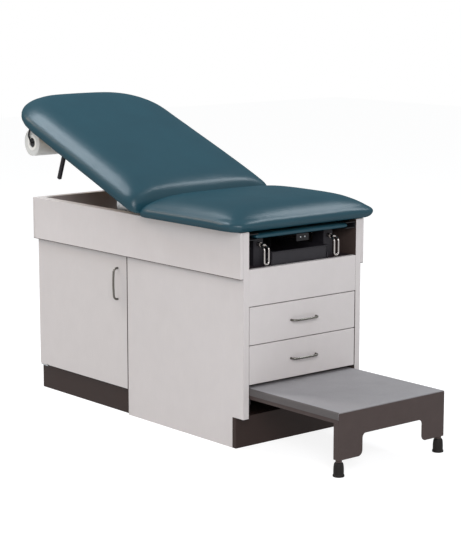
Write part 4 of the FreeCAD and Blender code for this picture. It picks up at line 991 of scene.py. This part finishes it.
def paper_winding():
    """The roll: a free outer edge along it, and turns that stand a little uneven at its ends."""
    node = "paper_roll"
    axis = Vector(joints["paper_spin"]["pos_m"])
    low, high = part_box(node)
    outer = (high.z - low.z) / 2
    core_low, core_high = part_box("paper_core")
    inner = (core_high.z - core_low.z) / 2 + ROLL_ON_CORE
    work = bmesh.new()
    profile = [(inner, low.y + ROLL_LIP)]
    for end, way in ((low.y, 1), (high.y, -1)):
        rings = range(ROLL_RINGS + 1)
        for k in rings if way > 0 else reversed(rings):
            radius = inner + (outer - inner) * k / ROLL_RINGS
            uneven = noise.noise(Vector((k * ROLL_UNEVEN_STEP, end, ROLL_UNEVEN_ROW)))
            profile.append((radius, end + way * ROLL_TELESCOPE * (1 + uneven)))
    profile.append((inner, high.y - ROLL_LIP))
    columns = []
    for i in range(ROLL_SEGMENTS):
        share = i / ROLL_SEGMENTS
        angle = math.tau * share
        column = []
        for radius, y in profile:
            step = ROLL_STEP * share * (radius - inner) / (outer - inner)
            spot = ((radius - step) * math.cos(angle), y, (radius - step) * math.sin(angle))
            column.append(work.verts.new((axis.x + spot[0], spot[1], axis.z + spot[2])))
        columns.append(column)
    for i, column in enumerate(columns):
        following = columns[(i + 1) % ROLL_SEGMENTS]
        for k in range(len(profile)):
            n = (k + 1) % len(profile)
            work.faces.new((column[k], column[n], following[n], following[k]))
    bmesh.ops.recalc_face_normals(work, faces=work.faces)
    obj = show(node + "_wound", as_mesh(work, node))
    rounded(obj, SHEET_CREASE)
    return stand_in(obj, crepe_paper(axis), node)


# Screws
def screw_head():
    """Pan head of unit radius with a cross recess."""
    work = bmesh.new()
    rings = [[ring] * SCREW_POINTS for ring in SCREW_RINGS]
    for arm, notch, height in (RECESS_RIM, RECESS_FLOOR):
        rings.append([(arm if k % 3 == 0 else notch, height) for k in range(SCREW_POINTS)])
    made = []
    for ring in rings:
        row = []
        for k, (radius, height) in enumerate(ring):
            angle = math.tau * k / SCREW_POINTS
            row.append(work.verts.new((radius * math.cos(angle), radius * math.sin(angle), height)))
        made.append(row)
    for below, above in zip(made, made[1:]):
        for k in range(SCREW_POINTS):
            n = (k + 1) % SCREW_POINTS
            work.faces.new((below[k], below[n], above[n], above[k]))
    work.faces.new(made[-1])
    work.faces.new(reversed(made[0]))
    return show("screw_head", as_mesh(work, "screw_head"))


def screws(name, body, radius, places, turn=None):
    """Screw heads at (place, facing) pairs, as one piece on a body."""
    mesh = bpy.data.meshes.new(name)
    mesh.from_pydata([place for place, _ in places], [], [])
    facing = mesh.attributes.new("facing", "FLOAT_VECTOR", "POINT")
    facing.data.foreach_set("vector", [c for _, way in places for c in way])
    obj = show(name, mesh)
    tree, keys = screw_heads
    grown(obj, tree, {keys["Head"]: pan_head, keys["Radius"]: radius})
    if turn is not None:
        obj.data.transform(turn)
    return dressed(obj, zinc, body, "zinc_steel")


def all_screws():
    """The screws of the pulls, hinges, guides and fittings."""
    out_x, back_x = Vector((1, 0, 0)), Vector((-1, 0, 0))
    out_y, up, down = Vector((0, 1, 0)), Vector((0, 0, 1)), Vector((0, 0, -1))
    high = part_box("leg_rest_tab")[1]
    screws("tab_screws", "leg_rest", TAB_SCREW, [
        (Vector((high.x, y, high.z - TAB_SCREW_DOWN)), out_x) for y in TAB_SCREW_Y
    ])
    for drawer in ("upper_drawer", "lower_drawer"):
        low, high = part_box(drawer + "_pull")
        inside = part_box(drawer + "_box")[1].x - DRAWER_WALL
        screws(drawer + "_pull_screws", drawer, FITTING_SCREW, [
            (Vector((inside, y, (low.z + high.z) / 2)), back_x)
            for y in (low.y + PULL_WIRE, high.y - PULL_WIRE)
        ])
    low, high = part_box("door_pull")
    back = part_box("door_panel")[1].y
    screws("door_pull_screws", "door", FITTING_SCREW, [
        (Vector(((low.x + high.x) / 2, back, z)), out_y) for z in (low.z + PULL_WIRE, high.z - PULL_WIRE)
    ])
    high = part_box("hinge_brackets")[1]
    screws("hinge_plate_screws", "cabinet", FITTING_SCREW, [
        (Vector((hinge.x + x, way * (high.y - HINGE_PLATE), high.z - z)), out_y * -way)
        for way in (-1, 1) for x in HINGE_SCREW_X for z in HINGE_SCREW_DOWN
    ])
    low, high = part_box("pan_guides")
    screws("pan_guide_screws", "cabinet", GUIDE_SCREW, [
        (Vector((low.x + (high.x - low.x) * share, way * (high.y - GUIDE_SCREW_IN), high.z)), up)
        for way in (-1, 1) for share in GUIDE_SCREW_SHARES
    ])
    high = flat_box("hinge_arms")[1]
    under = flat_box("backrest_board")[0].z
    places = [
        (Vector((hinge.x - x, way * (high.y - BOARD_SCREW_IN), under - ARM_FLANGE)), down)
        for way in (-1, 1) for x in ARM_SCREW_X
    ]
    low, high = flat_box("paper_holder")
    middle = (low.x + high.x) / 2
    places += [
        (Vector((middle + x, way * (high.y - BOARD_SCREW_IN), under - FITTING_PLATE)), down)
        for way in (-1, 1) for x in HOLDER_SCREW_X
    ]
    low, high = flat_box("lever_bracket")
    places += [
        (Vector((x, (low.y + high.y) / 2, under - FITTING_PLATE)), down)
        for x in (low.x + LEVER_SCREW_IN, high.x - LEVER_SCREW_IN)
    ]
    screws("backrest_screws", "backrest", BOARD_SCREW, places, raise_up)


# The object
vinyl = upholstery_vinyl()
zinc = zinc_steel()
nickel = plated("nickel_plated_dark", "#57544F", "#706D68", 0.22, 0.32)
chrome = plated("chrome_plated", "#9C9794", "#B0ABA8", 0.18, 0.26)
tip = tip_rubber()
plywood = birch_plywood(lay_flat)
inner_sheet = laminate("melamine_sheet_taupe", "#9C9290", "#A89E9C", 0.5, 0.6)
# Painted shade: a darker sheet on the inner faces past the partition, in the compartment.
painted_shade_sheet = laminate("melamine_sheet_painted_shade", "#3E332F", "#4A3E39", 0.5, 0.6)
# Dark laminate core, widened on the edges into a painted shadow line.
core_and_painted_shadow = laminate("phenolic_core_and_painted_shadow", "#3A302C", "#463B36", 0.5, 0.6)
rigid_finishes = {
    "grey_laminate": (laminate("melamine_laminate_grey", "#C6C0BD", "#D2CCC9", 0.42, 0.52), 1.2),
    "brown_board": (laminate("melamine_board_brown", "#261915", "#31221D", 0.55, 0.65), 0.6),
    "black_board": (laminate("melamine_board_black", "#2A2226", "#352B30", 0.55, 0.65), 0.6),
    "drawer_board": (laminate("melamine_board_pale", "#D5D2CB", "#E2E0DA", 0.45, 0.55), 0.6),
    "plywood": (plywood, 0.5),
    "nickel": (nickel, 0.5),
    "zinc_steel": (zinc, 0.4),
    "black_steel": (coated_steel("steel_powder_black", "#151517", "#202023", 0.35, 0.5), 0.4),
    "chrome": (chrome, 0.5),
    "black_plastic": (moulded_plastic("abs_moulded_black", "#1F1D21", "#29272B"), 1.0),
    "brown_steel": (coated_steel("steel_powder_brown", "#3A2F2C", "#433734", 0.45, 0.58), 1.0),
    "tread_rubber": (tread_matting("rubber_matting_pebbled", "#868384", "#959293"), 0.8),
    "tip_rubber": (tip, 0.5),
    "card_core": (card_tube(), 0.6),
}
# Painted shade: the leg rest's tab gets a blacker plastic than the pan, for the shade under the seat.
painted_shade_finishes = {"leg_rest_tab": (moulded_plastic("abs_moulded_painted_shade", "#0D0C0E", "#141315"), 1.0)}
pan_head = screw_head()
screw_heads = screw_tree(zinc)

pad("seat_pad", level)
pad("backrest_pad", lay_flat)
leg_rest()
vinyl_wrap()
staples()
for drawer in ("upper_drawer", "lower_drawer"):
    wire_pull(drawer + "_pull", Vector((1, 0, 0)), Vector((0, 1, 0)))
wire_pull("door_pull", Vector((0, -1, 0)), Vector((0, 0, 1)))
for side in ("left", "right"):
    heel_loop(side)
rubber_tips()
step_tread()
paper_arms()
paper_winding()
all_screws()
bpy.data.objects.remove(pan_head)
for node in sorted(nodes):
    if not nodes[node].hide_render:
        material, width = painted_shade_finishes.get(node, rigid_finishes[slot_of[node]])
        eased(node, material, width)
for node, way in INNER_FACES.items():
    lined(node, way)
# Edges with the dark core, widened into a painted shadow line.
for node, way in CORE_AND_SHADOW_EDGES.items():
    core_and_shadow_line(node, way)


# Studio
def studio_floor():
    """Pale floor that fades to white for the camera and keeps a faint shadow."""
    bpy.ops.mesh.primitive_plane_add(size=FLOOR_SIZE, location=(0, 0, -FLOOR_BELOW))
    floor = bpy.context.object
    floor.name = "floor"
    material = bpy.data.materials.new("studio_paper_white")
    material.use_nodes = True
    tree = material.node_tree
    tree.nodes.remove(tree.nodes["Principled BSDF"])
    seen = seen_rays(tree)
    bounce = add(tree, "ShaderNodeBsdfDiffuse", {"Color": linear("#E6E6E6")})
    soft = add(tree, "ShaderNodeBsdfDiffuse", {"Color": linear("#949494")})
    glow = add(tree, "ShaderNodeEmission", {"Color": linear("#FFFFFF"), "Strength": FLOOR_GLOW})
    both = add(tree, "ShaderNodeAddShader", {0: soft.outputs[0], 1: glow.outputs[0]})
    mixed = add(tree, "ShaderNodeMixShader", {0: seen, 1: bounce.outputs[0], 2: both.outputs[0]})
    tree.links.new(mixed.outputs[0], tree.nodes["Material Output"].inputs["Surface"])
    floor.data.materials.append(material)


def seen_rays(tree):
    """1 for what the camera sees, directly, in a reflection or through glass."""
    path = add(tree, "ShaderNodeLightPath")
    pair = add(tree, "ShaderNodeMath", {
        0: path.outputs["Is Camera Ray"], 1: path.outputs["Is Glossy Ray"],
    }, operation="MAXIMUM")
    both = add(tree, "ShaderNodeMath", {
        0: pair.outputs[0], 1: path.outputs["Is Transmission Ray"],
    }, operation="MAXIMUM")
    return both.outputs[0]


def studio_world(ambient):
    """White to the eye, and a weaker pale light on the object."""
    world = bpy.data.worlds.new("studio")
    scene.world = world
    world.use_nodes = True
    tree = world.node_tree
    backdrop = tree.nodes["Background"]
    backdrop.inputs["Strength"].default_value = 1.0
    backdrop.inputs["Color"].default_value = linear("#FFFFFF")
    light = add(tree, "ShaderNodeBackground", {"Color": linear("#F4F6F8"), "Strength": ambient})
    mixed = add(tree, "ShaderNodeMixShader", {
        0: seen_rays(tree), 1: light.outputs[0], 2: backdrop.outputs[0],
    })
    tree.links.new(mixed.outputs[0], tree.nodes["World Output"].inputs["Surface"])


def softbox(name, place, aim, size, power, colour):
    """A rectangular lamp turned to the place it aims at."""
    lamp = bpy.data.lights.new(name, "AREA")
    lamp.color = linear(colour)[:3]
    lamp.shape = "RECTANGLE"
    lamp.size, lamp.size_y = size
    lamp.energy = power
    holder = show(name, lamp)
    holder.location = place
    holder.rotation_euler = (Vector(aim) - Vector(place)).to_track_quat("-Z", "Y").to_euler()


def photo_camera():
    """The camera as it stood for the photograph."""
    camera = show("camera", bpy.data.cameras.new("camera"))
    camera.location = CAMERA_PLACE
    camera.rotation_euler = (
        math.radians(90 - CAMERA_PITCH), 0, math.radians(CAMERA_AZIMUTH),
    )
    long_side = max(PHOTO_WIDTH, PHOTO_HEIGHT)
    camera.data.sensor_width = SENSOR
    camera.data.lens = FOCAL_PIXELS / long_side * SENSOR
    camera.data.shift_x = CENTRE_SHIFT_PIXELS / long_side
    camera.data.clip_end = CLIP_END
    scene.camera = camera


studio_floor()
studio_world(AMBIENT_LIGHT)
softbox("over_softbox", (-2.2, -1.0, 4.1), (-0.4, -0.2, 0.9), (1.6, 1.2), 110, "#EAF5FF")
softbox("left_softbox", (-3.2, -1.8, 3.2), (0.1, -0.2, 0.8), (1.0, 0.6), 34, "#FFE4CE")
softbox("right_softbox", (0.8, 2.7, 3.7), (0.3, 0, 0.8), (1.8, 0.8), 85, "#EEF7FF")
softbox("front_softbox", (5.0, -3.3, 3.1), (0, 0, 0.5), (2.5, 2.5), 226, "#FAFAFF")
photo_camera()
scene.view_settings.view_transform = "Standard"
